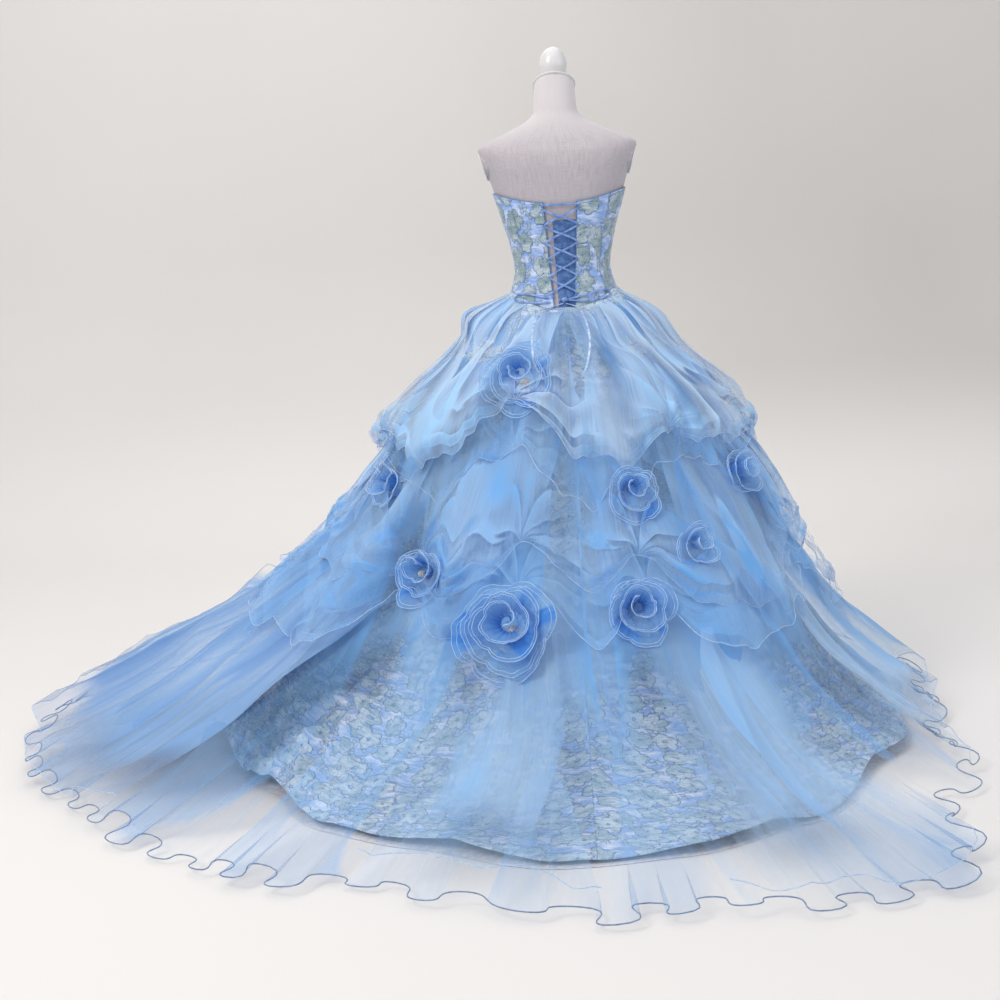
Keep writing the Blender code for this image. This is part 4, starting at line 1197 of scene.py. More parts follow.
# ------------------------------------------------------------------ the studio
@dataclass
class Studio:
    """The camera behind the gown, the soft lights and the pale paper sweep."""

    camera_place: tuple[float, float, float] = (0.05, 4.4, 1.25)
    focal_pixels: float = 1737.5
    frame_pixels: float = 1000.0
    pitch: float = 9.44
    yaw: float = 1.8
    roll: float = -3.1
    floor: Backdrop = field(default_factory=lambda: Backdrop("studio_paper", "ECE9E6", "E2DFDB", "CCC8C3"))

    def camera(self) -> Thing:
        """Aim the camera at the laced back, level with the bodice.

        Returns:
            The camera.
        """
        p, y, r = (math.radians(a) for a in (self.pitch, self.yaw, self.roll))
        ahead = Vector((math.sin(y) * math.cos(p), -math.cos(y) * math.cos(p), -math.sin(p)))
        right = ahead.cross(Vector((0, 0, 1))).normalized()
        up = right.cross(ahead)
        right, up = right * math.cos(r) + up * math.sin(r), -right * math.sin(r) + up * math.cos(r)
        data = bpy.data.cameras.new("studio_camera")
        data.sensor_width = 36.0
        data.lens = self.focal_pixels * 36.0 / self.frame_pixels
        data.clip_end = 60.0
        made = place(bpy.data.objects.new("studio_camera", data))
        made.matrix_world = Matrix.Translation(
            Vector(self.camera_place)
        ) @ Matrix((right, up, -ahead)).transposed().to_4x4()
        bpy.context.scene.camera = made
        return made

    def sweep(self) -> Thing:
        """A floor that curves up into the wall all round, far behind the gown.

        Returns:
            The backdrop.
        """
        outline = [(0.0, 0.0), (2.2, 0.0), (3.2, 0.0)]
        outline += [
            (3.2 + 1.1 * math.sin(math.radians(a)), 1.1 * (1 - math.cos(math.radians(a))))
            for a in range(10, 91, 10)
        ]
        outline += [(4.3, 3.0), (4.3, 6.0)]
        rows = []
        for reach, height in outline:
            rows.append([(-9.0, 1.2 - reach, height), (9.0, 1.2 - reach, height)])
        rows.insert(0, [(-9.0, 9.0, 0.0), (9.0, 9.0, 0.0)])
        made = grid_mesh("studio_sweep", np.asarray(rows, float)[:, ::-1], self.floor.make())
        return made

    def light(
        self, name: str, at: tuple[float, float, float], size: float, power: float, colour: str
    ) -> None:
        """One square soft light that faces the gown.

        Args:
            name: The light's name.
            at: Its place.
            size: Its side's length.
            power: Its power in watts.
            colour: Its hex colour.
        """
        data = bpy.data.lights.new(name, "AREA")
        data.size, data.energy = size, power
        data.color = linear(colour)[:3]
        made = place(bpy.data.objects.new(name, data))
        aim = Vector((0, 0, 0.7)) - Vector(at)
        made.matrix_world = Matrix.Translation(Vector(at)) @ aim.to_track_quat("-Z", "Y").to_matrix().to_4x4()

    def build(self) -> None:
        """Make the whole studio."""
        self.camera()
        self.sweep()
        self.light("window_left", (3.4, 3.4, 4.3), 2.0, 132.0, "FFFAF4")
        self.light("fill_right", (-4.5, 3.2, 2.4), 3.5, 48.0, "F4F7FF")
        self.light("overhead", (0.3, 0.6, 4.6), 4.5, 62.0, "FFFFFF")
        self.light("front_fill", (0.5, -2.6, 3.4), 3.0, 30.0, "FFFFFF")
        world = bpy.data.worlds.new("studio_air")
        world.use_nodes = True
        feed(world.node_tree.nodes["Background"], {"Color": "F3F5FA", "Strength": 0.54})
        bpy.context.scene.world = world
        bpy.context.scene.view_settings.view_transform = "Standard"


# ------------------------------------------------------------------ the dress form
@dataclass
class DressForm:
    """Linen-covered torso with flat arm plates, a sloping neck plate, a finial, pole and foot."""

    columns: int = 120
    rows: int = 116
    neck_top: float = 1.545
    neck_slope: float = 0.54
    plate_thickness: float = 0.0055
    knob_top: float = 1.640
    cover: Linen = field(default_factory=Linen)
    lacquer: Enamel = field(default_factory=lambda: Enamel("white_turned_lacquer"))
    steel: Enamel = field(default_factory=lambda: Enamel("white_painted_steel", "DBDADA", 0.35))

    def torso(self, linen: Material) -> None:
        """The smooth torso, closed below and cut on a slope at the neck.

        Args:
            linen: The cover's finish.
        """
        degrees = np.arange(self.columns + 1) * 360 / self.columns
        z = np.linspace(0.82, self.neck_top, self.rows)[::-1, None]
        grid = form_points(degrees[None, :-1], z)
        grid[..., 2] += self.neck_slope * grid[..., 1] * ease((z - 1.478) / (self.neck_top - 1.478))
        around = np.broadcast_to(np.radians(degrees)[None] * 0.155, (self.rows, self.columns + 1))
        cut = np.stack([around, np.broadcast_to(z, around.shape)], -1)
        closed = [np.repeat(grid[i].mean(0)[None, None], self.columns, 1) for i in (0, -1)]
        grid = np.concatenate([closed[0], grid, closed[1]])
        cut = np.concatenate([cut[:1], cut, cut[-1:]])
        torso = grid_mesh("torso_cover", grid, linen, closed=True, cut=cut)
        weld(torso)
        dress(torso, "linen_cover", "form_torso")

    def arm_plate(self, side: Side, linen: Material, lacquer: Material) -> None:
        """The flat oval plate that closes an armhole, on its short padded stump.

        Args:
            side: Which arm.
            linen: The stump's finish.
            lacquer: The plate's finish.
        """
        normal = np.array([side.value * 0.955, 0.0, -0.297])
        up, across = np.array([side.value * 0.297, 0.0, 0.955]), np.array([0.0, 1.0, 0.0])
        middle = np.array([side.value * 0.1835, -0.002, 1.360])
        turn = np.linspace(0, 2 * np.pi, 48, endpoint=False)[None, :, None]

        def ovals(sizes: Sequence[tuple[float, float, float]]) -> Array:
            """Oval rings, each (out, height, depth) from the plate's middle.

            Args:
                sizes: How far out, how high and how deep each ring is.

            Returns:
                The rings.
            """
            return np.stack([
                (
                    middle + normal * out + np.cos(turn[0]) * up * high + np.sin(turn[0]) * across * deep
                ) for out, high, deep in sizes
            ])

        stump = ovals(
            ((-0.040, 0.036, 0.060), (-0.020, 0.037, 0.053), (-0.006, 0.037, 0.045), (0.0, 0.0365, 0.043))
        )
        plate = ovals(
            (
                (0.0002, 0.0355, 0.0425), (0.0012, 0.037, 0.0438), (0.0026, 0.037, 0.0438),
                (0.0036, 0.0355, 0.0425),
            )
        )
        name = side.name.lower()
        dress(capped(f"arm_stump_{name}", stump, linen), "linen_cover")
        dress(capped(f"arm_plate_{name}", plate, lacquer), "white_lacquer")

    def turned(
        self, name: str, profile: Sequence[tuple[float, float, float]], material: Material, node: str
    ) -> None:
        """A turned piece from (radius, height, slope) rings.

        Args:
            name: The piece's name.
            profile: Each ring's radius, height and slope.
            material: Its finish.
            node: The solid that it stands for.
        """
        turn = np.linspace(0, 2 * np.pi, 72, endpoint=False)
        rings = np.stack([
            np.stack(
                [r * np.sin(turn), r * np.cos(turn), z + slope * r * np.cos(turn)], -1
            ) for r, z, slope in profile
        ])
        dress(capped(name, rings[::-1], material), "white_lacquer", node)

    def build(self) -> None:
        """Make and dress every piece of the form."""
        linen, lacquer, steel = self.cover.make(), self.lacquer.make(), self.steel.make()
        self.torso(linen)
        for side in Side:
            self.arm_plate(side, linen, lacquer)
        under = self.neck_top + 0.0004
        slope = self.neck_slope
        plate = [(0.0500, under, slope), (0.0520, under + 0.0004, slope), (0.0532, under + 0.0014, slope)]
        plate += [
            (0.0534, under + 0.0026, slope), (0.0524, under + 0.0045, slope),
            (0.0460, under + self.plate_thickness, slope),
        ]
        self.turned("neck_plate_lacquer", plate, lacquer, "form_neck_plate")
        start = under + self.plate_thickness + 0.0004
        egg = smooth_path(
            [(0.0325, start, slope), (0.0330, start + 0.004, slope * 0.9),
             (0.0296, start + 0.0075, slope * 0.7),
             (0.0322, self.knob_top - 0.058, 0.08), (0.0340, self.knob_top - 0.044, 0),
             (0.0318, self.knob_top - 0.029, 0), (0.0250, self.knob_top - 0.014, 0), (
                 0.0140, self.knob_top - 0.0045, 0
             ),
             (0.0040, self.knob_top - 0.0002, 0)], 6,
        )
        self.turned("finial_lacquer", [tuple(row) for row in egg], lacquer, "form_finial")
        for node in ("form_pole", "form_foot"):
            solid = bpy.data.objects[node]
            solid.data.materials.clear()
            solid.data.materials.append(steel)


# ------------------------------------------------------------------ the bodice
@dataclass
class Bodice:
    """Seven boned brocade panels with bound edges, and the modesty panel."""

    ease_off: float = BODICE_OFF
    wall: float = 0.0025
    seam: float = 0.11
    panels: tuple[tuple[str, float, float], ...] = (
        ("side_back_left", 50, 90), ("side_front_left", 90, 145), ("front", 145, 215),
        ("side_front_right", 215, 270), ("side_back_right", 270, 310),
    )
    rows: int = 64
    columns: int = 44
    piping_radius: float = 0.00135
    stitch_radius: float = 0.00032
    stitch_step: float = 0.0042
    crinkle: Crinkle = field(default_factory=lambda: Crinkle(11))

    def panel_angles(self, first: float, last: float, count: int, back: int) -> Array:
        """Each row's column angles; a back panel's inner edge follows the lacing opening.

        Args:
            first: The panel's first angle.
            last: Its last angle.
            count: Its columns.
            back: 1 or -1 for a back panel, else 0.

        Returns:
            Angles of shape (rows, columns).
        """
        share = np.linspace(0, 1, count)[None]
        t = np.linspace(0, 1, self.rows)[:, None]
        if not back:
            return np.broadcast_to(
                first + self.seam + (last - first - 2 * self.seam) * share, (self.rows, count)
            )
        edge = np.full_like(t, 12.0)
        for _ in range(3):
            edge = opening_edge(bodice_top(edge) + (bodice_hem(edge) - bodice_top(edge)) * t)
        angles = edge + (50 - self.seam - edge) * share
        return angles if back > 0 else -angles[:, ::-1]

    def panel(self, name: str, first: float, last: float, brocade: Material, back: int = 0) -> list[Array]:
        """Make one panel and give its two long edges back for the seams.

        Args:
            name: The panel's place on the bodice.
            first: Its first angle.
            last: Its last angle.
            brocade: Its cloth.
            back: 1 or -1 for the back panel on that side of the opening.

        Returns:
            The outer side's left and right edges.
        """
        count = self.columns
        degrees = self.panel_angles(first, last, count, back)
        t = np.linspace(0, 1, self.rows)[:, None]
        top, hem = bodice_top(degrees), bodice_hem(degrees)
        z = top + (hem - top) * t
        low = self.crinkle.at(degrees * 0.16, z * 105)
        fine = self.crinkle.at(degrees * 0.45 + 31, z * 210 + 9)
        edge = np.minimum(np.linspace(0, 1, count), np.linspace(1, 0, count))[None] * count
        calm = ease(edge / 5) * ease(t * 14) * ease((1 - t) * 14)
        pinch = -0.0011 * np.exp(-((edge / 1.1) ** 2))
        swell = calm * (0.0022 * (low - 0.35) + 0.0009 * (fine - 0.5)) + pinch
        outer = form_points(degrees, z, self.ease_off + self.wall + swell)
        inner = form_points(degrees, z, np.full_like(z, self.ease_off))
        middle = (degrees[:1].mean() if back else (first + last) / 2)
        cut = np.stack([np.radians(degrees - middle) * 0.135 + first * 0.0031, z], -1)
        made = grid_mesh(f"bodice_{name}_cloth", outer, brocade, cut=cut, inner=inner)
        dress(made, "floral_brocade", f"bodice_{name}")
        return [outer[:, 0], outer[:, -1]]

    def bindings(self, edges: dict[str, list[Array]], satin: Material) -> None:
        """Cord piping along the top edge and the opening, and stitches beside each seam.

        Args:
            edges: Each panel's two long edges.
            satin: The piping's and the thread's finish.
        """
        ring = np.linspace(0, 1, 260)
        start, end = (float(opening_edge(z)) for z in (OPENING_TOP, HEM_BACK))
        degrees = start + (360 - 2 * start) * ring
        top = form_points(degrees, bodice_top(degrees) - 0.0004, self.ease_off + self.wall * 0.62)
        left, right = edges["back_left"][0], edges["back_right"][1]
        hem_degrees = end + (360 - 2 * end) * ring
        hem = form_points(hem_degrees, bodice_hem(hem_degrees) + 0.0012, self.ease_off + self.wall * 0.75)
        piping = Trim(TrimKind.WIRE, self.piping_radius, 0.004, 8).along(
            "bodice_piping", [top, left, right, hem], satin
        )
        dress(piping, "deep_blue_satin")
        stitch_paths = []
        for pair in edges.values():
            for path, sign in ((pair[0], 1), (pair[1], -1)):
                flat = np.stack([path[:, 1], -path[:, 0], np.zeros(len(path))], -1)
                normal = unit(path * np.array([1, 1, 0]))
                stitch_paths.append(path + unit(flat) * 0.0042 * sign + normal * 0.0007)
        low = form_points(degrees, bodice_top(degrees) - 0.0065, self.ease_off + self.wall + 0.0004)
        thread = Trim(TrimKind.STITCHES, self.stitch_radius, self.stitch_step, 5, 0.0028)
        stitches = thread.along("bodice_stitches", [*stitch_paths, low], satin)
        dress(stitches, "deep_blue_satin")

    def modesty(self, satin: Material) -> None:
        """The darker satin behind the lacing, ruched level by level.

        Args:
            satin: Its finish.
        """
        top, rows, columns = 1.2195, 94, 36
        z = np.linspace(top, HEM_BACK, rows)[:, None]
        half = opening_edge(z)
        degrees = -(half + 4) + (1.5 * half + 4) * np.linspace(0, 1, columns)[None]
        across = np.minimum(np.linspace(0, 1, columns), np.linspace(1, 0, columns))[None]
        ruche = self.crinkle.ridges(degrees * 0.12 + 7, z * 135 + degrees * 0.05)
        off = 0.0012 + 0.0017 * ruche * ease(across * 7)
        grid = form_points(degrees, z, off)
        cut = np.stack(np.broadcast_arrays(np.radians(degrees) * 0.1, z), -1)
        inner = form_points(degrees, z, np.full_like(off, 0.0004))
        made = grid_mesh("modesty_satin", grid, satin, cut=cut, inner=inner)
        dress(made, "deep_blue_satin", "modesty_panel")

    def build(self) -> None:
        """Make and dress the bodice."""
        brocade = Brocade(name="bodice_floral_brocade", pucker=1.1).make()
        satin = Satin("deep_blue_piping_satin", "6F93C9", "4A6FA8").make()
        edges = {}
        for name, first, last in self.panels:
            edges[name] = self.panel(name, first, last, brocade)
        edges["back_left"] = self.panel("back_left", 20, 50, brocade, 1)
        edges["back_right"] = self.panel("back_right", -50, -20, brocade, -1)
        self.bindings(edges, satin)
        self.modesty(Satin("modesty_blue_satin", "5F86BD", "355C98", 0.4).make())


# ------------------------------------------------------------------ lacing and bow
@dataclass
class Lacing:
    """The satin ribbon that closes the back, its knot, its two long loops and its free ends."""

    width: float = 0.005
    thickness: float = 0.0012
    crossings: int = 5
    top_z: float = 1.2485
    end_z: float = 1.0415
    knot_z: float = 1.0260
    lift: float = 0.0066
    edge_inset: float = 2.5

    def step_z(self, step: float) -> float:
        """Height of a lacing step, from the top edge down."""
        return self.top_z + (self.end_z - self.top_z) * step / self.crossings

    def zigzag(self, side: int) -> tuple[Array, Array]:
        """A ribbon's way from edge to edge, over or under the other at each crossing.

        Args:
            side: 1 or -1, where the ribbon starts.

        Returns:
            The ribbon's middle line and the way its flat side faces.
        """
        places = []
        for step in range(self.crossings):
            here = side if step % 2 == 0 else -side
            over = 1 if (step % 2 == 0) == (side > 0) else 0
            z, below = self.step_z(step), self.step_z(step + 1)
            start = here * (float(opening_edge(z)) + self.edge_inset)
            end = -here * (float(opening_edge(below)) + self.edge_inset)
            for share in np.linspace(0, 1, 12, endpoint=False):
                rise = 0.0030 * over * math.sin(math.pi * share)
                places.append((start + (end - start) * share, z + (below - z) * share, self.lift + rise))
        places.append((end, below, self.lift))
        places.append((math.copysign(8.5, end), self.knot_z + 0.007, self.lift))
        table = np.asarray(places)
        soft = table.copy()
        soft[1:-1] = table[1:-1] * 0.5 + (table[:-2] + table[2:]) * 0.25
        return form_points(*soft.T), form_normals(soft[:, 0], soft[:, 1])

    def ribbon(self, name: str, path: Array, normals: Array, satin: Material, *nodes: str) -> Thing:
        """A flat ribbon along a path.

        Args:
            name: The piece's name.
            path: Its middle line.
            normals: Which way its flat side faces.
            satin: Its finish.
            nodes: The solids that it stands for.

        Returns:
            The dressed ribbon.
        """
        return dress(
            capped(name, band_grid(path, normals, self.width, self.thickness), satin), "satin_ribbon", *nodes
        )

    def loops(self, satin: Material) -> None:
        """The small ribbon loops at the opening's edges that the lacing passes through.

        Args:
            satin: Their finish.
        """
        z = np.array([self.step_z(float(step)) for step in range(self.crossings + 1)])
        degrees = np.concatenate([opening_edge(z) + 1.4, -opening_edge(z) - 1.4])
        z = np.concatenate([z, z])
        out = form_normals(degrees, z)
        across = np.stack([out[:, 1], -out[:, 0], np.zeros(len(out))], -1)
        loop = Trim(TrimKind.LOOPS, 0.0008, 0.01, 6, 0.0040)
        made = loop.along("lacing_loops", [form_points(degrees, z, 0.0056)], satin, out=across)
        dress(made, "satin_ribbon")

    def bow(self, satin: Material, carrier: Callable[[float, float], Vector]) -> None:
        """The knot and two long loops, laid on what is below them.

        Args:
            satin: The ribbon's finish.
            carrier: Gives the outermost point at an angle and a height.
        """
        for side, reach in ((Side.LEFT, 0.112), (Side.RIGHT, 0.106)):
            path, normals = [], []
            for i in range(61):
                turn = math.pi * (-0.955 + 1.91 * i / 60)
                along = 0.010 + reach * (1 + math.cos(turn)) / 2
                drop = 0.012 * (along / reach) ** 2 + 0.010 * math.sin(turn) * (0.25 + along / reach)
                degrees = side.value * math.degrees(along / 0.115)
                level = self.knot_z + drop
                at = max((carrier(degrees, level + d) for d in (-0.004, 0, 0.004)), key=lambda p: p.xy.length)
                angle = math.radians(degrees)
                radial = Vector((math.sin(angle), math.cos(angle), 0))
                path.append(radial * (at.xy.length + 0.0040) + Vector((0, 0, level)))
                normals.append((radial + Vector((0, 0, 0.5))).normalized())
            line = np.asarray(path)
            for _ in range(3):
                line[1:-1] = line[1:-1] * 0.5 + (line[:-2] + line[2:]) * 0.25
            name = side.name.lower()
            self.ribbon(f"bow_loop_{name}_satin", line, np.asarray(normals), satin, f"bow_loop_{name}")
        middle, half = middle_and_half("bow_knot")
        turns = np.linspace(0, 2 * np.pi, 40, endpoint=False)[None]
        steps = np.linspace(0.06, 0.94, 24)[:, None] * np.pi
        wrap = 1 + 0.12 * np.sin(
            5 * steps + 1.2 * np.sin(turns)
        ) - 0.16 * np.exp(-(((steps - 1.57) / 0.16) ** 2))
        length = -np.cos(steps) * np.ones_like(turns)
        rings = np.stack(
            [length, np.sin(steps) * np.cos(turns) * wrap, np.sin(steps) * np.sin(turns) * wrap], -1
        )
        dress(capped("bow_knot_satin", middle + rings * half, satin), "satin_ribbon", "bow_knot")

    def tails(self, satin: Material) -> None:
        """The two free ends, each a flat ribbon.

        Args:
            satin: Their finish.
        """
        for side, route in ((Side.LEFT, LEFT_TAIL), (Side.RIGHT, RIGHT_TAIL)):
            path = smooth_path(route, 8)
            ahead = unit(np.gradient(path, axis=0))
            out = unit(path * np.array([1, 1, 0]) + np.array([0, 0, 0.6]))
            normals = unit(out - (out * ahead).sum(-1, keepdims=True) * ahead)
            name = f"lacing_tail_{side.name.lower()}"
            tail = capped(f"{name}_satin", band_grid(path, normals, self.width, 0.0016), satin)
            dress(tail, "satin_ribbon", name)

    def build(self, carrier: Callable[[float, float], Vector]) -> None:
        """Make and dress the lacing.

        Args:
            carrier: Gives the outermost point at an angle and a height.
        """
        satin = Satin("sky_satin_ribbon", "8DB0E6", "6487C4").make()
        for side, name in ((1, "lacing_left"), (-1, "lacing_right")):
            self.ribbon(f"{name}_satin", *self.zigzag(side), satin, name)
        z = self.top_z + 0.0085
        degrees = np.linspace(-1, 1, 41) * (float(opening_edge(z)) + self.edge_inset)
        path, normals = form_points(degrees, z, self.lift), form_normals(degrees, np.full_like(degrees, z))
        self.ribbon("lacing_top_satin", path, normals, satin, "lacing_top")
        self.loops(satin)
        self.bow(satin, carrier)
        self.tails(Satin("bright_satin_ribbon", "CFE0F6", "8FAEDA", 0.26).make())


# ------------------------------------------------------------------ the brocade skirt
@dataclass
class BrocadeSkirt:
    """Five gores of floral brocade over a white lining whose edge shows under the hem."""

    gores: tuple[tuple[str, float, float], ...] = (
        ("back_left", 0, 75), ("side_left", 75, 145), ("front", 145, 215), ("side_right", 215, 285),
        ("back_right", 285, 360),
    )
    rows: int = 68
    step_degrees: float = 0.6
    thickness: float = 0.0015
    heap_angle: float = 54.0
    crinkle: Crinkle = field(default_factory=lambda: Crinkle(23))

    def crumple(self, rows: Array, degrees: Array) -> Array:
        """How far the stiff cloth buckles out, most where it heaps up near the floor.

        Args:
            rows: Rows of the skirt.
            degrees: Angles of the columns.

        Returns:
            How far each point buckles out.
        """
        long_folds = self.crinkle.ridges(degrees / 360 * 34 + 0.25 * rows, rows * 0.55, 34)
        short = self.crinkle.ridges(degrees / 360 * 90 + 40, rows * 1.7 + 3, 90)
        beside = np.mod(degrees + 180, 360) - 180 - self.heap_angle
        heap = np.exp(-((beside / 20) ** 2)) * ease((rows - 6.0) / 1.2) * ease((9.4 - rows) / 1.0)
        across = self.crinkle.ridges(degrees / 360 * 60 + 11, rows * 3.2 + 0.8 * np.sin(degrees * 0.2), 60)
        out = 0.010 * long_folds * ease((rows - 1.2) / 2) + 0.004 * short * ease((rows - 0.8) / 1.5)
        return out + heap * (0.050 * across + 0.016 * short)

    def gore(self, name: str, first: float, last: float, brocade: Material) -> None:
        """Make one gore.

        Args:
            name: The gore's place.
            first: Its first angle.
            last: Its last angle.
            brocade: Its finish.
        """
        count = int((last - first) / self.step_degrees) + 1
        share = np.linspace(0, 1, count)[None]
        rows = np.linspace(0, 9, self.rows)[:, None] * np.ones_like(share)
        degrees = first + (last - first) * share[0]
        points, out, side, _ = BROCADE_SHAPE.frame(rows, degrees)
        reach = np.maximum(np.linalg.norm(points[..., :2], axis=-1), 0.1)
        trim = np.where(share < 0.5, 1, -1) * np.maximum(
            0, 1 - np.minimum(share, 1 - share) * count
        ) * 0.00030
        points = points + side * trim[..., None]
        off = BROCADE_SHAPE.fold(rows, degrees[None]) + self.crumple(rows, degrees[None]) * (
            0.25 + 0.75 * ease(rows / 2)
        )
        outer, inner = points + out * (off + self.thickness)[..., None], points + out * off[..., None]
        for grid, floor in ((outer, 0.0045), (inner, 0.0030)):
            grid[..., 2] = floor + np.maximum(grid[..., 2], 0)
        middle = math.radians((first + last) / 2)
        slant = np.concatenate(
            [np.zeros((1, count)), np.cumsum(np.linalg.norm(np.diff(points, axis=0), axis=-1), 0)]
        )
        cut = np.stack([(np.radians(degrees)[None] - middle) * reach + first * 0.01, slant], -1)
        made = grid_mesh(f"skirt_{name}_brocade", outer, brocade, cut=cut, inner=inner)
        dress(made, "floral_brocade", f"skirt_{name}")

    def lining(self, white: Material) -> None:
        """The white lining's lowest band, which shows as a thin edge on the floor.

        Args:
            white: Its finish.
        """
        degrees = np.arange(720) * 0.5
        rows = np.linspace(8.3, 9.0, 6)[:, None] * np.ones_like(degrees)[None]
        points, out, _, down = BROCADE_SHAPE.frame(rows, degrees)
        spread = 0.016 * ease((rows - 8.6) / 0.4) * (0.35 + self.crinkle.at(degrees / 360 * 40, rows, 40))
        grid = points + down * spread[..., None]
        grid[..., 2] = np.maximum(grid[..., 2] + 0.0012, 0.0012)
        made = grid_mesh("skirt_lining_edge", grid, white, closed=True, cut=np.zeros((6, 721, 2)))
        dress(made, "floral_brocade")

    def build(self) -> None:
        """Make and dress the skirt."""
        brocade = Brocade(
            ground="A2C3F1", highlight_and_speck="E8F1FF", flower="A6C2D1", pale_flower="CCDFEB", leaf="B8CEDD",
            outline="5E84B6", pucker=1.7,
        ).make()
        for name, first, last in self.gores:
            self.gore(name, first, last, brocade)
        self.lining(Satin("white_lining_satin", "F2F1F3", "D9D8DE", 0.5).make())


# ------------------------------------------------------------------ the net
@dataclass
class NetLayer:
    """One gathered layer of tulle with its wired hem."""

    name: str
    nodes: tuple[str, ...]
    first: float
    last: float
    steps: tuple[tuple[float, float, float], ...]
    seed: int
    rests_on: tuple[str, ...]
    pickups: tuple[tuple[float, float, float], ...] = ()
    bands: tuple[tuple[int, float, float, float], ...] = ()
    swag_depth: float = 0.010
    jag: float = 0.10
    hem_ruffle: float = 0.008
    curl: float = 0.0
    step_degrees: float = 0.5
    rows: int = 56
    wire: float = 0.0014
    fade: tuple[float, float] = (0.0, 0.0)
    billow: float = 0.0
    soft_sides: bool = False
    room: float = 0.03
    catch: float = 1.0
    swing: float = 0.0
    slant: float = 0.0
    soft_end: float = 0.0
    side_ruffle: float = 0.0

    @property
    def closed(self) -> bool:
        """Whether the layer runs all the way round."""
        return self.last - self.first >= 360

    def lift(self, degrees: Array) -> Array:
        """How many rows the hem is caught up.

        Args:
            degrees: Angles of the columns.

        Returns:
            Rows of lift at each angle.
        """
        total = np.zeros_like(degrees)
        for angle, rise, half_width in self.pickups:
            away = np.abs((degrees - angle + 180) % 360 - 180)
            total = total + rise * (1 - ease(away / half_width))
        return total

    def wander(self, degrees: Array, crinkle: Crinkle) -> Array:
        """How many rows the hem strays up or down.

        Args:
            degrees: Angles of the columns.
            crinkle: The layer's noise.

        Returns:
            The hem's stray at each angle.
        """
        around, level = degrees / 360, degrees * 0
        jag = self.jag * (crinkle.at(around * 80, level + 0.5, 80) - 0.5) * 2
        if not self.curl:
            jag = jag + self.jag * 0.8 * (crinkle.ridges(around * 46 + 9, level + 7.5, 46) - 0.5)
        return jag + self.swing * (crinkle.at(around * 15 + 3, level + 2.5, 15) - 0.5)

    def gathers(self, around: Array, along: Array, free: Array, crinkle: Crinkle) -> Array:
        """Billows and bands of gathers.

        Args:
            around: Each column's share of the way round.
            along: How far down the cloth each point is.
            free: How free of the lacing it is, from 0 to 1.
            crinkle: The layer's noise.

        Returns:
            How far each point stands out.
        """
        billow = free * self.billow * (crinkle.at(around * 13 + 0.7, along * 2.2 + 4, 13) - 0.35)
        relief = billow * ease((along - along[:1] - 0.06) / 0.2)
        for number, start, end, depth in self.bands:
            warp = crinkle.at(around * number / 5, along * 2.1 + number, max(int(number / 5), 1))
            warp = 0.55 * (warp - 0.5) * number / 22
            ridge = crinkle.ridges(around * number + warp, along * 2.3 + number * 0.37, number)
            band = depth * ridge * ease((along - start) / 0.09) * (1 - ease((along - end) / 0.25))
            relief += band * (free if depth > 0.02 else 1)
        return relief

    def caught(
        self, relief: Array, degrees: Array, along: Array, radius: Array, crinkle: Crinkle
    ) -> tuple[Array, Array, Array]:
        """Add the folds that run out from each place where the hem is caught up.

        Args:
            relief: How far each point stands out; the folds are added to it.
            degrees: Angles of the columns.
            along: How far down the cloth each point is.
            radius: Its distance from the gown's axis.
            crinkle: The layer's noise.

        Returns:
            The calmed relief, how near a caught place is, and UVs round and away from it.
        """
        around = degrees[None] / 360
        calm, swag, nearest = np.ones_like(along), np.zeros_like(along), np.full_like(along, 9.0)
        spokes_uv = np.zeros((*along.shape, 2))
        for angle, rise, _ in self.pickups:
            dx = np.radians((degrees[None] - angle + 180) % 360 - 180) * radius
            dy = along[-1:] * 0.98 - along
            far, turn = np.hypot(dx, dy), np.arctan2(dx, dy + 0.01)
            spokes = 0.5 + 0.5 * np.cos(13 * turn + 2.2 * crinkle.at(around * 30, along * 6, 30) + angle)
            near = np.exp(-((far / 0.24) ** 2))
            relief += self.swag_depth * rise / 0.5 * spokes**1.4 * near * ease(far / 0.05)
            calm *= 1 - 0.35 * near
            swag = np.maximum(swag, np.exp(-((far / 0.20) ** 2)) * min(1.0, rise / 0.45))
            spokes_uv = np.where((far < nearest)[..., None], np.stack([turn * 0.16, far], -1), spokes_uv)
            nearest = np.minimum(nearest, far)
        return relief * calm, swag, spokes_uv

    def thinness(self, rows: Array, degrees: Array, share: Array, along: Array, crinkle: Crinkle) -> Array:
        """How thin the cloth is: at its loose sides and end, and where it is parted.

        Args:
            rows: The net's row at each point.
            degrees: Angles of the columns.
            share: Each row's share of the way down the layer.
            along: How far down the cloth each point is.
            crinkle: The layer's noise.

        Returns:
            The share of the cloth that is missing.
        """
        around, thin = degrees[None] / 360, np.zeros_like(rows)
        if self.soft_sides:
            across = np.linspace(0, 1, len(degrees))[None]
            stray = crinkle.at(across * 0 + 3.5 + (across > 0.5) * 20, along * 5.0 + 2) - 0.5
            inward = np.minimum(across, 1 - across) * (self.last - self.first) / 50 + 0.10 * stray
            end = ease((share - 0.80 + 0.14 * crinkle.at(around * 60 + 8, along * 0.5, 60)) / 0.16)
            thin = np.maximum(1 - ease((inward - 0.02) / 0.11), self.soft_end * end)
        for angle, half, row, half_rows, amount in WINDOWS:
            away = ((degrees[None] - angle) / half) ** 2 + ((rows - row) / half_rows) ** 2
            worn = amount * np.exp(-away) * (0.5 + 1.0 * crinkle.at(around * 90 + 5, rows * 1.3, 90))
            thin = np.maximum(thin, np.minimum(worn, 0.92))
        return thin

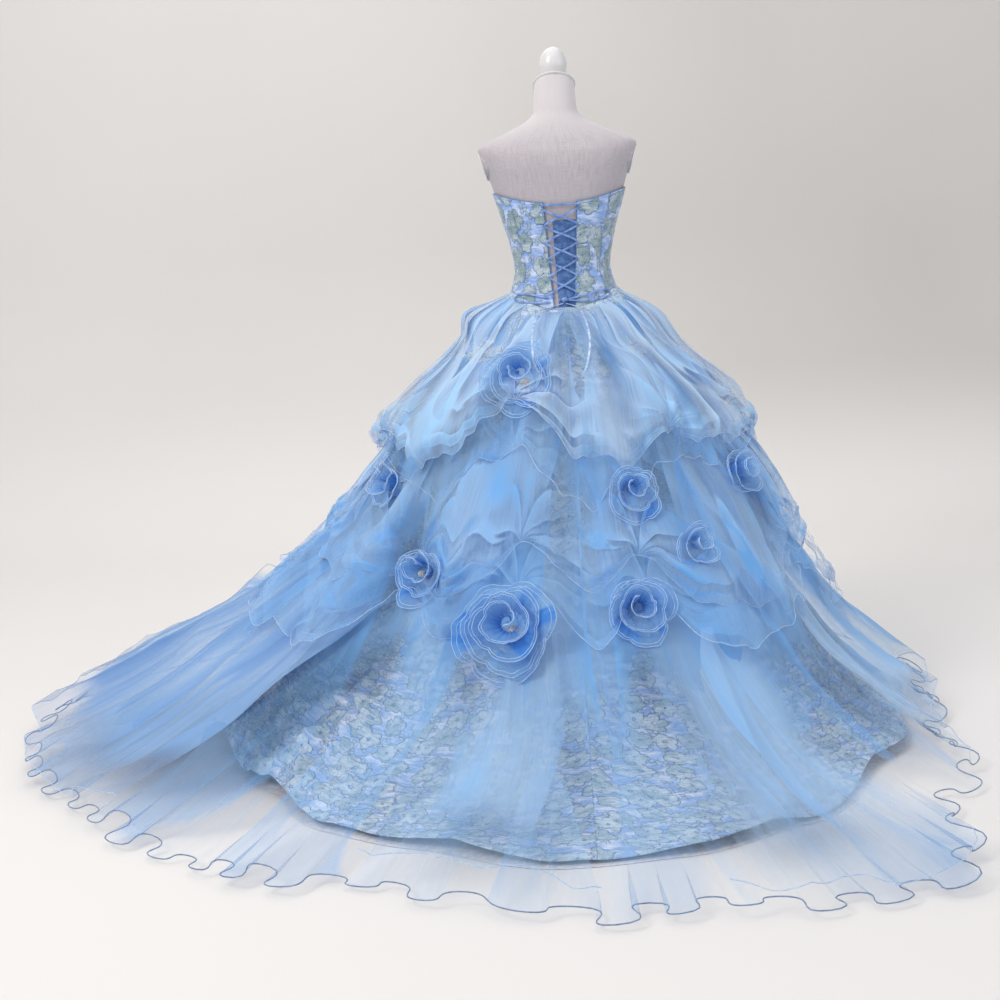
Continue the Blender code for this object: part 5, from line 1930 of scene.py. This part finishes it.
    def build_grid(self) -> dict[str, object]:
        """Work out the layer's points and what its finish reads.

        Returns:
            The grid, its UVs and the numbers at its points.
        """
        crinkle = Crinkle(self.seed)
        count = int(round((self.last - self.first) / self.step_degrees)) + (0 if self.closed else 1)
        degrees = self.first + np.arange(count) * self.step_degrees
        share = (np.linspace(0, 1, self.rows) ** 0.9)[:, None]
        first, last = self.steps[0][0], self.steps[-1][0]
        lift = self.catch * self.lift(degrees)[None]
        nominal = first + (last - first) * share
        profile = smooth_table(self.steps, np.broadcast_to(nominal, (self.rows, count)))
        stand_off, puff = profile[..., 0], profile[..., 1]
        stray = self.wander(degrees, crinkle)[None] * ease((share - 0.55) / 0.45)
        rows = np.clip(nominal - lift * share**1.5 + stray, 0, 11)
        points, out, side, down = NET_SHAPE.frame(rows, degrees)
        spacing = np.linalg.norm(np.diff(points, axis=0), axis=-1)
        along = np.concatenate([np.zeros((1, count)), np.cumsum(spacing, 0)])
        radius = np.maximum(np.linalg.norm(points[..., :2], axis=-1), 0.08)
        around = degrees[None] / 360
        # Under the lacing the cloth lies flat.
        free = 1 - np.exp(-(((degrees[None] - 2) / 15) ** 2)) * (1 - ease((rows - 2.1) / 0.6))
        relief = self.gathers(around, along, free, crinkle)
        relief, swag, spokes_uv = self.caught(relief, degrees, along, radius, crinkle)
        gather = (1 - np.cos(np.radians(18 * degrees + 140))) / 2
        swell = puff * (0.55 + 0.45 * gather[None]) * (1 - 0.45 * np.minimum(1.0, lift))
        # The relief stays in the room that the layer's solid has.
        extra = self.room * ease((rows - 4.5) / 3) * (stand_off.max() < 0.015)
        room = 0.0016 + 0.85 * (stand_off + swell) + extra
        relief = np.minimum(relief, np.maximum(room, 0.0016 + 0.010 * ease(rows - 0.4)))
        if self.curl:
            relief = relief * (1 - 0.93 * ease((share - 0.84) / 0.12))
        edge = ease((share - 0.80) / 0.20)
        ruffle = crinkle.at(around * 150, along * 9, 150) + crinkle.ridges(
            around * 64 + 5, along * 4, 64
        ) - 0.8
        ruffle = self.hem_ruffle * edge * ruffle
        # Under the waist the gathers are drawn in, but for the puff on the left and the laced back's middle.
        puffed = 0.8 * np.exp(-(((degrees[None] - 84) / 18) ** 2)) * (1 - ease((rows - 0.9) / 0.5))
        aside = ease((np.abs((degrees[None] + 180) % 360 - 180) - 22) / 26)
        snug = 1 - 0.68 * np.exp(-(((rows - 2.5) / 1.1) ** 2)) * aside * (1 - puffed)
        off = (stand_off + swell + relief) * snug + NET_SHAPE.fold(rows, degrees[None]) + ruffle
        off = off - 0.044 * np.exp(-(((rows - 1.5) / 0.95) ** 2)) * (1 - puffed) * free
        grid = points + out * off[..., None]
        if self.curl:
            grid = self.curls(grid, side, down, degrees, share, crinkle)
        # What would sink into the floor spreads out just over it.
        settled = 0.0022 + 0.03 * np.exp((grid[..., 2] - 0.03) / 0.03) * 0.93
        grid[..., 2] = np.where(grid[..., 2] < 0.03, settled, grid[..., 2])
        slope = np.gradient(off, axis=1) / np.maximum(radius * np.radians(self.step_degrees), 1e-4)
        down_slope = np.gradient(relief + ruffle, axis=0) / np.maximum(np.gradient(along, axis=0), 1e-4)
        fold = np.clip(np.hypot(slope * 1.0, down_slope * 0.3) - 0.12, 0, 1.6) / 1.6
        if self.side_ruffle:
            across = np.linspace(0, 1, count)[None]
            wave = crinkle.ridges(along * 5.5 + 2, across * 1.5) * ease((across - 0.80) / 0.20)
            grid[..., 2] += self.side_ruffle * (wave * ease((share - 0.30) / 0.25))
        wrapped = np.arange(count + 1) if self.closed else np.arange(count)
        angle = np.radians(self.first + wrapped * self.step_degrees)[None]
        index = wrapped % count
        gather_uv = np.stack([np.broadcast_to(angle * 0.5, (self.rows, len(index))), along[:, index]], -1)
        spokes_uv = spokes_uv[:, index]
        traits = {
            "fold": fold, "layers": np.broadcast_to(self.density(rows, degrees, crinkle), fold.shape),
            "swag": swag, "thin": self.thinness(rows, degrees, share, along, crinkle),
        }
        if self.slant:
            grid, gather_uv, spokes_uv = (self.slanted(v, share) for v in (grid, gather_uv, spokes_uv))
            traits = {name: self.slanted(v[..., None], share)[..., 0] for name, v in traits.items()}
        return {"grid": grid, "gather": gather_uv, "spokes": spokes_uv, "traits": traits}

    def slanted(self, values: Array, share: Array) -> Array:
        """Draw the first side over towards the last one as the layer runs down.

        Args:
            values: Values at each row and column.
            share: Each row's share of the way down.

        Returns:
            The values after the slant.
        """
        count = values.shape[1]
        column = np.arange(count)[None]
        moved = column + self.slant / self.step_degrees * (1 - column / (count - 1)) * ease(share / 0.6)
        low = np.minimum(np.floor(moved).astype(int), count - 2)
        row = np.arange(len(values))[:, None]
        return values[row, low] + (values[row, low + 1] - values[row, low]) * (moved - low)[..., None]

    def density(self, rows: Array, degrees: Array, crinkle: Crinkle) -> Array:
        """How many more layers lie together: many by the gown, one by the floor's edge.

        Args:
            rows: The net's row at each point.
            degrees: Angles of the columns.
            crinkle: The layer's noise.

        Returns:
            What the layers below add to the cover.
        """
        if not self.curl:
            first, last = self.steps[0][0], self.steps[-1][0]
            return self.fade[0] + (self.fade[1] - self.fade[0]) * ease((rows - first) / (last - first))
        end = 9.0 + 1.6 * ease((-degrees - 22) / 14) - 0.5 * ease((degrees - 20) / 14)
        end = end + 0.9 * (crinkle.at(degrees / 360 * 26 + 2, degrees * 0 + 1.5, 26) - 0.5)
        return (0.40 + 0.22 * (1 - ease((rows - 7.0) / 1.6))) * (1 - ease((rows - end[None] + 1.2) / 1.6))

    def curls(
        self, grid: Array, side: Array, down: Array, degrees: Array, share: Array, crinkle: Crinkle
    ) -> Array:
        """Let the wired hem wander in scallops and small loops over the floor.

        Args:
            grid: The layer's points.
            side: Sideways directions.
            down: Downward directions.
            degrees: Angles of the columns.
            share: Each row's share of the way down.
            crinkle: The layer's noise.

        Returns:
            The points with the curled hem.
        """
        around = degrees / 360
        level = degrees * 0
        phase = np.radians(degrees) * 64 + 11.0 * crinkle.at(around * 30, level + 3.3, 30)
        size = self.curl * (
            0.30 + 1.0 * crinkle.at(around * 40 + 3, level + 11.2, 40)
        ) * ease((share - 0.88) / 0.12)
        reach, sway = (size * np.sin(phase)[None])[..., None], (
            size * 0.55 * np.sin(2 * phase)[None]
        )[..., None]
        grid = grid + down * reach - side * sway
        rise = size * (0.35 + 0.35 * np.sin(phase + 1.1))[None]
        grid[..., 2] += rise * crinkle.at(around * 30, level + 21.7, 30)[None]
        return grid

    def build(self, tulle: Material, wire: Material) -> Thing:
        """Make and dress the layer and its hem wire.

        Args:
            tulle: The layer's finish.
            wire: Its hem wire's finish.

        Returns:
            The dressed layer.
        """
        made = self.build_grid()
        grid = made["grid"]
        cloth = grid_mesh(
            self.name, grid, tulle, closed=self.closed, cut=made["gather"], gather=made["gather"],
            spokes=made["spokes"], traits=made["traits"],
        )
        dress(cloth, "blue_tulle", *self.nodes)
        hem = grid[-1].copy()
        hem[:, 2] = np.maximum(hem[:, 2], self.wire * 1.15)
        paths = [hem, grid[self.rows // 3:, -1]] if self.side_ruffle else [hem]
        edge = Trim(TrimKind.WIRE, self.wire, 0.006, 6).along(
            f"{self.name}_hem_wire", paths, wire, closed=self.closed
        )
        dress(edge, "blue_tulle")
        return cloth


@dataclass
class Net:
    """All the tulle: the long train, the widths gathered over it and the two puffed tiers."""

    train: tuple[tuple[str, float, float], ...] = (
        ("back", -25, 25), ("back_left", 25, 75), ("side_left", 75, 125), ("front", 125, 235),
        ("side_right", 235, 290), ("back_right", 290, 335),
    )
    overlays: tuple[tuple[str, float, float, float, float], ...] = (
        ("left", 38, 106, 6, 11), ("centre", 0, 20, 6, 10.6), ("right", -30, -9, 6, 11), (
            "side_right", -95, -43, 6, 10.7
        ),
    )

    def build(self) -> list[Thing]:
        """Make every layer from the inside out.

        Returns:
            The tiers, the last of which carries the bow.
        """
        single = Tulle("train_tulle_single", "A6CEF4", "78B0E8", 0.09, 0.45, 0.24, 130.0, 0.5).make()
        gathered = Tulle(
            "overlay_tulle_gathered", "B8D6F2", "8DB8E4", 0.56, 0.35, 0.40, 190.0, 0.5, False, 0.5
        ).make()
        # The heaped width's tulle is darker: partly for its many layers, partly as painted shade.
        heaped_shaded = Tulle(
            "overlay_tulle_heaped", "86ADDA", "6991C8", 0.90, 0.12, 0.34, 190.0, 0.4, False, 0.22
        ).make()
        upper = Tulle("upper_tier_tulle", "E2F0FD", "A2CDF4", 0.29, 0.38, 0.48, 130.0, 1.6, True).make()
        middle = Tulle("middle_tier_tulle", "C2E0FC", "70ADE9", 0.36, 0.40, 0.50, 130.0, 1.5, True).make()
        flounce = Tulle("flounce_tulle_single", "B2D8FA", "7DB5ED", 0.17, 0.45, 0.28, 120.0, 1.5, True).make()
        floor_wire = Satin("hem_wire_grey_blue", "869DBE", "62799F", 0.45).make()
        pale_wire = Satin("hem_wire_pale_blue", "C4DAF3", "A2C2E8", 0.45).make()
        long_bands = (
            (150, 0.0, 0.2, 0.003), (60, 0.1, 0.9, 0.009), (28, 0.4, 9.0, 0.030), (72, 0.6, 9.0, 0.010)
        )
        for name, first, last in self.train:
            NetLayer(
                f"train_{name}_tulle", (f"tulle_train_{name}",), first, last, ((0, 0, 0), (11, 0.0, 0.0)), 41,
                ("form_torso",), bands=long_bands, jag=0.05, hem_ruffle=0.0, curl=0.034,
                step_degrees=1 / 3, rows=70,
                room=0.045,
            ).build(single, floor_wire)
        for name, first, last, top, bottom in self.overlays:
            steps = ((top, 0.0013, 0.0), (top + (bottom - top) * 0.5, 0.0073, 0.003), (bottom, 0.0073, 0.010))
            # The left width is heaped up and drawn over towards the back.
            heap = name == "left"
            NetLayer(
                f"overlay_{name}_tulle", (f"tulle_overlay_{name}",), first, last, steps, 53 + len(name),
                ("train_back_tulle",), bands=(
                    (120, 0.0, 9.0, 0.006), (44, 0.1, 9.0, 0.026), (200, 0.0, 9.0, 0.003)
                ),
                jag=0.30, hem_ruffle=0.024 if heap else 0.014, step_degrees=0.25, rows=58, soft_sides=True,
                wire=0.0009, room=0.05, slant=10.0 if heap else 0.0, soft_end=0.75,
                side_ruffle=0.075 if heap else 0.0,
            ).build(heaped_shaded if heap else gathered, pale_wire)
        tiers = []
        bands = (
            (150, 0.0, 0.14, 0.0016), (84, 0.03, 0.28, 0.004), (44, 0.10, 0.9, 0.007), (20, 0.16, 9.0, 0.036)
        )
        for name, nodes, steps, pickups, seed, tulle, fade in (
            ("tier_middle_under_tulle", (), MIDDLE_UNDER_STEPS, MIDDLE_PICKUPS, 61, flounce, (0.0, 0.0)),
            (
                "tier_middle_tulle", ("tulle_tier_middle",), MIDDLE_STEPS, MIDDLE_PICKUPS, 67, middle,
                (0.0, 0.10),
            ),
            ("tier_upper_under_tulle", (), UPPER_UNDER_STEPS, UPPER_PICKUPS, 73, flounce, (0.0, 0.0)),
            ("tier_upper_tulle", ("tulle_tier_upper",), UPPER_STEPS, UPPER_PICKUPS, 79, upper, (0.0, 0.14)),
        ):
            tiers.append(NetLayer(
                name, nodes, -180, 180, steps, seed, ("train_back_tulle",), pickups, bands=bands,
                swag_depth=0.040, jag=0.26, hem_ruffle=0.022, rows=50, step_degrees=0.5 if nodes else 0.6,
                wire=0.0008, fade=fade, billow=0.07, catch=1.7, swing=0.9,
            ).build(tulle, pale_wire))
        return tiers


# ------------------------------------------------------------------ rosettes
@dataclass
class Rosette:
    """A coiled strip of doubled tulle with a wired, ruffled edge, and sometimes a brocade heart."""

    name: str
    angle: float
    radius: float
    turns: float
    seed: int
    heart: bool = False
    rise: float = 1.0

    def axes(self) -> tuple[Array, Array, Array, Array]:
        """The solid's foot, facing, sideways and upward directions.

        Returns:
            The foot and the three directions.
        """
        turn = math.radians(self.angle)
        facing = unit(np.array([math.sin(turn), math.cos(turn), 0.35]))
        sideways = unit(np.cross(np.array([0, 0, 1.0]), facing))
        upward = unit(np.cross(facing, sideways))
        solid = bpy.data.objects[f"rosette_{self.name}"]
        flat = np.empty(len(solid.data.vertices) * 3, np.float32)
        solid.data.vertices.foreach_get("co", flat)
        points = flat.reshape(-1, 3).astype(float)
        middle = sum(
            axis * (np.min(points @ axis) + np.max(points @ axis)) / 2 for axis in (sideways, upward)
        )
        return middle + facing * np.min(points @ facing), facing, sideways, upward

    def build(self, tulle: Material, wire: Material, brocade: Material) -> None:
        """Make and dress the rosette.

        Args:
            tulle: The coil's finish.
            wire: Its wire's finish.
            brocade: The heart's finish.
        """
        foot, facing, sideways, upward = self.axes()
        crinkle = Crinkle(self.seed)
        count, deep = int(self.turns * 90), 11
        share = np.linspace(0, 1, count)[None]
        across = np.linspace(0, 1, deep)[:, None]
        spin = 2 * np.pi * self.turns * share + self.seed
        edge = self.radius * (0.16 + 0.84 * share**0.85)
        # Petals: three or four to a turn, each a little further round than the one inside it.
        petal = np.abs(np.sin(spin * 1.62 + 1.4 * crinkle.at(spin * 0.7, spin * 0 + 9.5))) ** 0.7
        wave = crinkle.at(spin * 1.3 + self.seed, spin * 0 + 1.5) - 0.5
        fine = crinkle.at(spin * 4.8, spin * 0 + 5.5) - 0.5
        edge = edge * (0.86 + 0.20 * petal + 0.34 * wave * share + 0.10 * fine)
        base = self.radius * (0.03 + 0.50 * share)
        edge = base + (edge - base) * (1 - 0.9 * ease((share - 0.86) / 0.14))
        high = 0.060 * (1 - 0.62 * share) + (
            0.030 * wave + 0.018 * (petal - 0.5)
        ) * (0.4 + share) + 0.010 * fine
        flare = across ** (1.0 + 1.1 * share)
        out = base + (edge - base) * flare
        up = -0.010 * (1 - across) + self.rise * high * (across - 0.34 * share * across**3)
        pleat = 0.0016 * np.sin(spin * 17 + 3 * wave) * (1 - across) ** 0.6
        ray = np.cos(spin)[..., None] * sideways + np.sin(spin)[..., None] * upward
        lean = self.radius * (1 - share[..., None]) * (0.28 * upward - 0.06 * sideways)
        grid = foot + lean + ray * (out + pleat)[..., None] + facing * up[..., None]
        length = np.concatenate([[0], np.cumsum(np.linalg.norm(np.diff(grid[-1], axis=0), axis=1))])
        uv = np.stack(np.broadcast_arrays(length[None], across * 0.05), -1)
        # Towards the coil's base the net is marked denser and deeper in colour, partly for its crowded layers
        # and partly as painted shade between the turns; at the rim it is thinner and paler.
        fold = np.clip(
            0.55 + 0.9 * np.abs(wave) - 0.65 * across, 0, 1
        ) * (1 - 0.7 * ease((share - 0.82) / 0.12))
        layers = (0.34 * (1 - across) ** 1.5 - 0.16 * across) * np.ones_like(out)
        # The coil runs against the spin on its outer side, so its rows are turned to face out.
        cloth = grid_mesh(
            f"rosette_{self.name}_tulle", grid[::-1], tulle, cut=uv[::-1], gather=uv[::-1],
            traits={"fold": fold[::-1], "layers": layers[::-1]},
        )
        dress(cloth, "blue_tulle", f"rosette_{self.name}")
        rim = Trim(TrimKind.WIRE, 0.0010, 0.004, 6).along(
            f"rosette_{self.name}_wire", [grid[-1], grid[-2]], wire
        )
        dress(rim, "blue_tulle")
        if self.heart:
            self.build_heart(facing, crinkle, brocade)

    def build_heart(self, facing: Array, crinkle: Crinkle, brocade: Material) -> None:
        """The crumpled pad of brocade in the coil's middle.

        Args:
            facing: The way the rosette faces.
            crinkle: The rosette's noise.
            brocade: The pad's finish.
        """
        name = f"rosette_heart_{self.name}"
        middle, half = middle_and_half(name)
        turns = np.linspace(0, 2 * np.pi, 40, endpoint=False)[None]
        steps = np.linspace(0.05, 0.95, 22)[:, None] * np.pi
        crush = 0.80 + 0.42 * crinkle.ridges(turns * 40 / (2 * np.pi) * 0.25, steps * 2.6, 10)
        length = -np.cos(steps) * np.ones_like(turns)
        rings = np.stack(
            [np.sin(steps) * np.sin(turns) * crush, np.sin(steps) * np.cos(turns) * crush, length], -1
        )
        heart = capped(f"{name}_brocade", middle + facing * 0.014 + rings * half, brocade)
        dress(heart, "floral_brocade", name)


@dataclass
class Rosettes:
    """The eight rosettes."""

    items: tuple[Rosette, ...] = (
        Rosette("upper", 14.5, 0.102, 3.6, 3, True, 0.66), Rosette("centre", 12, 0.130, 4.4, 5, True),
        Rosette("right", -9.5, 0.092, 3.4, 8), Rosette("left", 33, 0.078, 3.0, 13, True),
        Rosette("middle", -13, 0.074, 2.8, 21), Rosette("side_right", -25, 0.064, 2.6, 34, True),
        Rosette("far_left", 57, 0.066, 2.6, 55), Rosette("far_right", -50, 0.070, 2.6, 89),
    )

    def build(self) -> None:
        """Make every rosette."""
        tulle = Tulle("rosette_tulle_doubled", "9CCBF6", "3D88DC", 0.44, 0.45, 0.26, 60.0).make()
        wire = Satin("rosette_wire_pale", "B4D2F6", "93BBEC", 0.45).make()
        brocade = Brocade(
            "heart_brocade", "F0F4FA", "FFFFFF", "DFE6EE", "F6F8FB", "E6ECF2", "A9B9D0", 0.020
        ).make()
        for item in self.items:
            item.build(tulle, wire, brocade)


# ------------------------------------------------------------------ the whole gown
def outermost(things: Sequence[Thing]) -> Callable[[float, float], Vector]:
    """A function that gives the outermost point of some pieces at an angle and a height.

    Args:
        things: The pieces.

    Returns:
        The function.
    """
    trees = []
    for thing in things:
        thing.data.calc_loop_triangles()
        corners, faces = thing.data.vertices, thing.data.loop_triangles
        trees.append(
            BVHTree.FromPolygons([corner.co for corner in corners], [face.vertices[:] for face in faces])
        )

    def find(degrees: float, z: float) -> Vector:
        """Cast a level ray inwards at the angle.

        Args:
            degrees: Angle from the centre back.
            z: Height.

        Returns:
            The point.
        """
        angle = math.radians(degrees)
        radial = Vector((math.sin(angle), math.cos(angle), 0))
        best = 0.0
        for tree in trees:
            hit = tree.ray_cast(radial * 2.0 + Vector((0, 0, z)), -radial)[0]
            if hit is not None:
                best = max(best, hit.xy.length)
        return radial * best + Vector((0, 0, z))

    return find


def main() -> None:
    """Build the studio, the form and the gown."""
    logging.basicConfig(level=logging.INFO, format="%(name)s: %(message)s")
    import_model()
    Studio().build()
    DressForm().build()
    Bodice().build()
    BrocadeSkirt().build()
    tiers = Net().build()
    below = [
        f"bodice_{name}_cloth" for name in ("back_left", "back_right", "side_back_left", "side_back_right")
    ]
    Lacing().build(outermost([*(bpy.data.objects[name] for name in [*below, "modesty_satin"]), tiers[-1]]))
    Rosettes().build()
    bpy.context.view_layer.update()


if __name__ == "__main__":
    main()
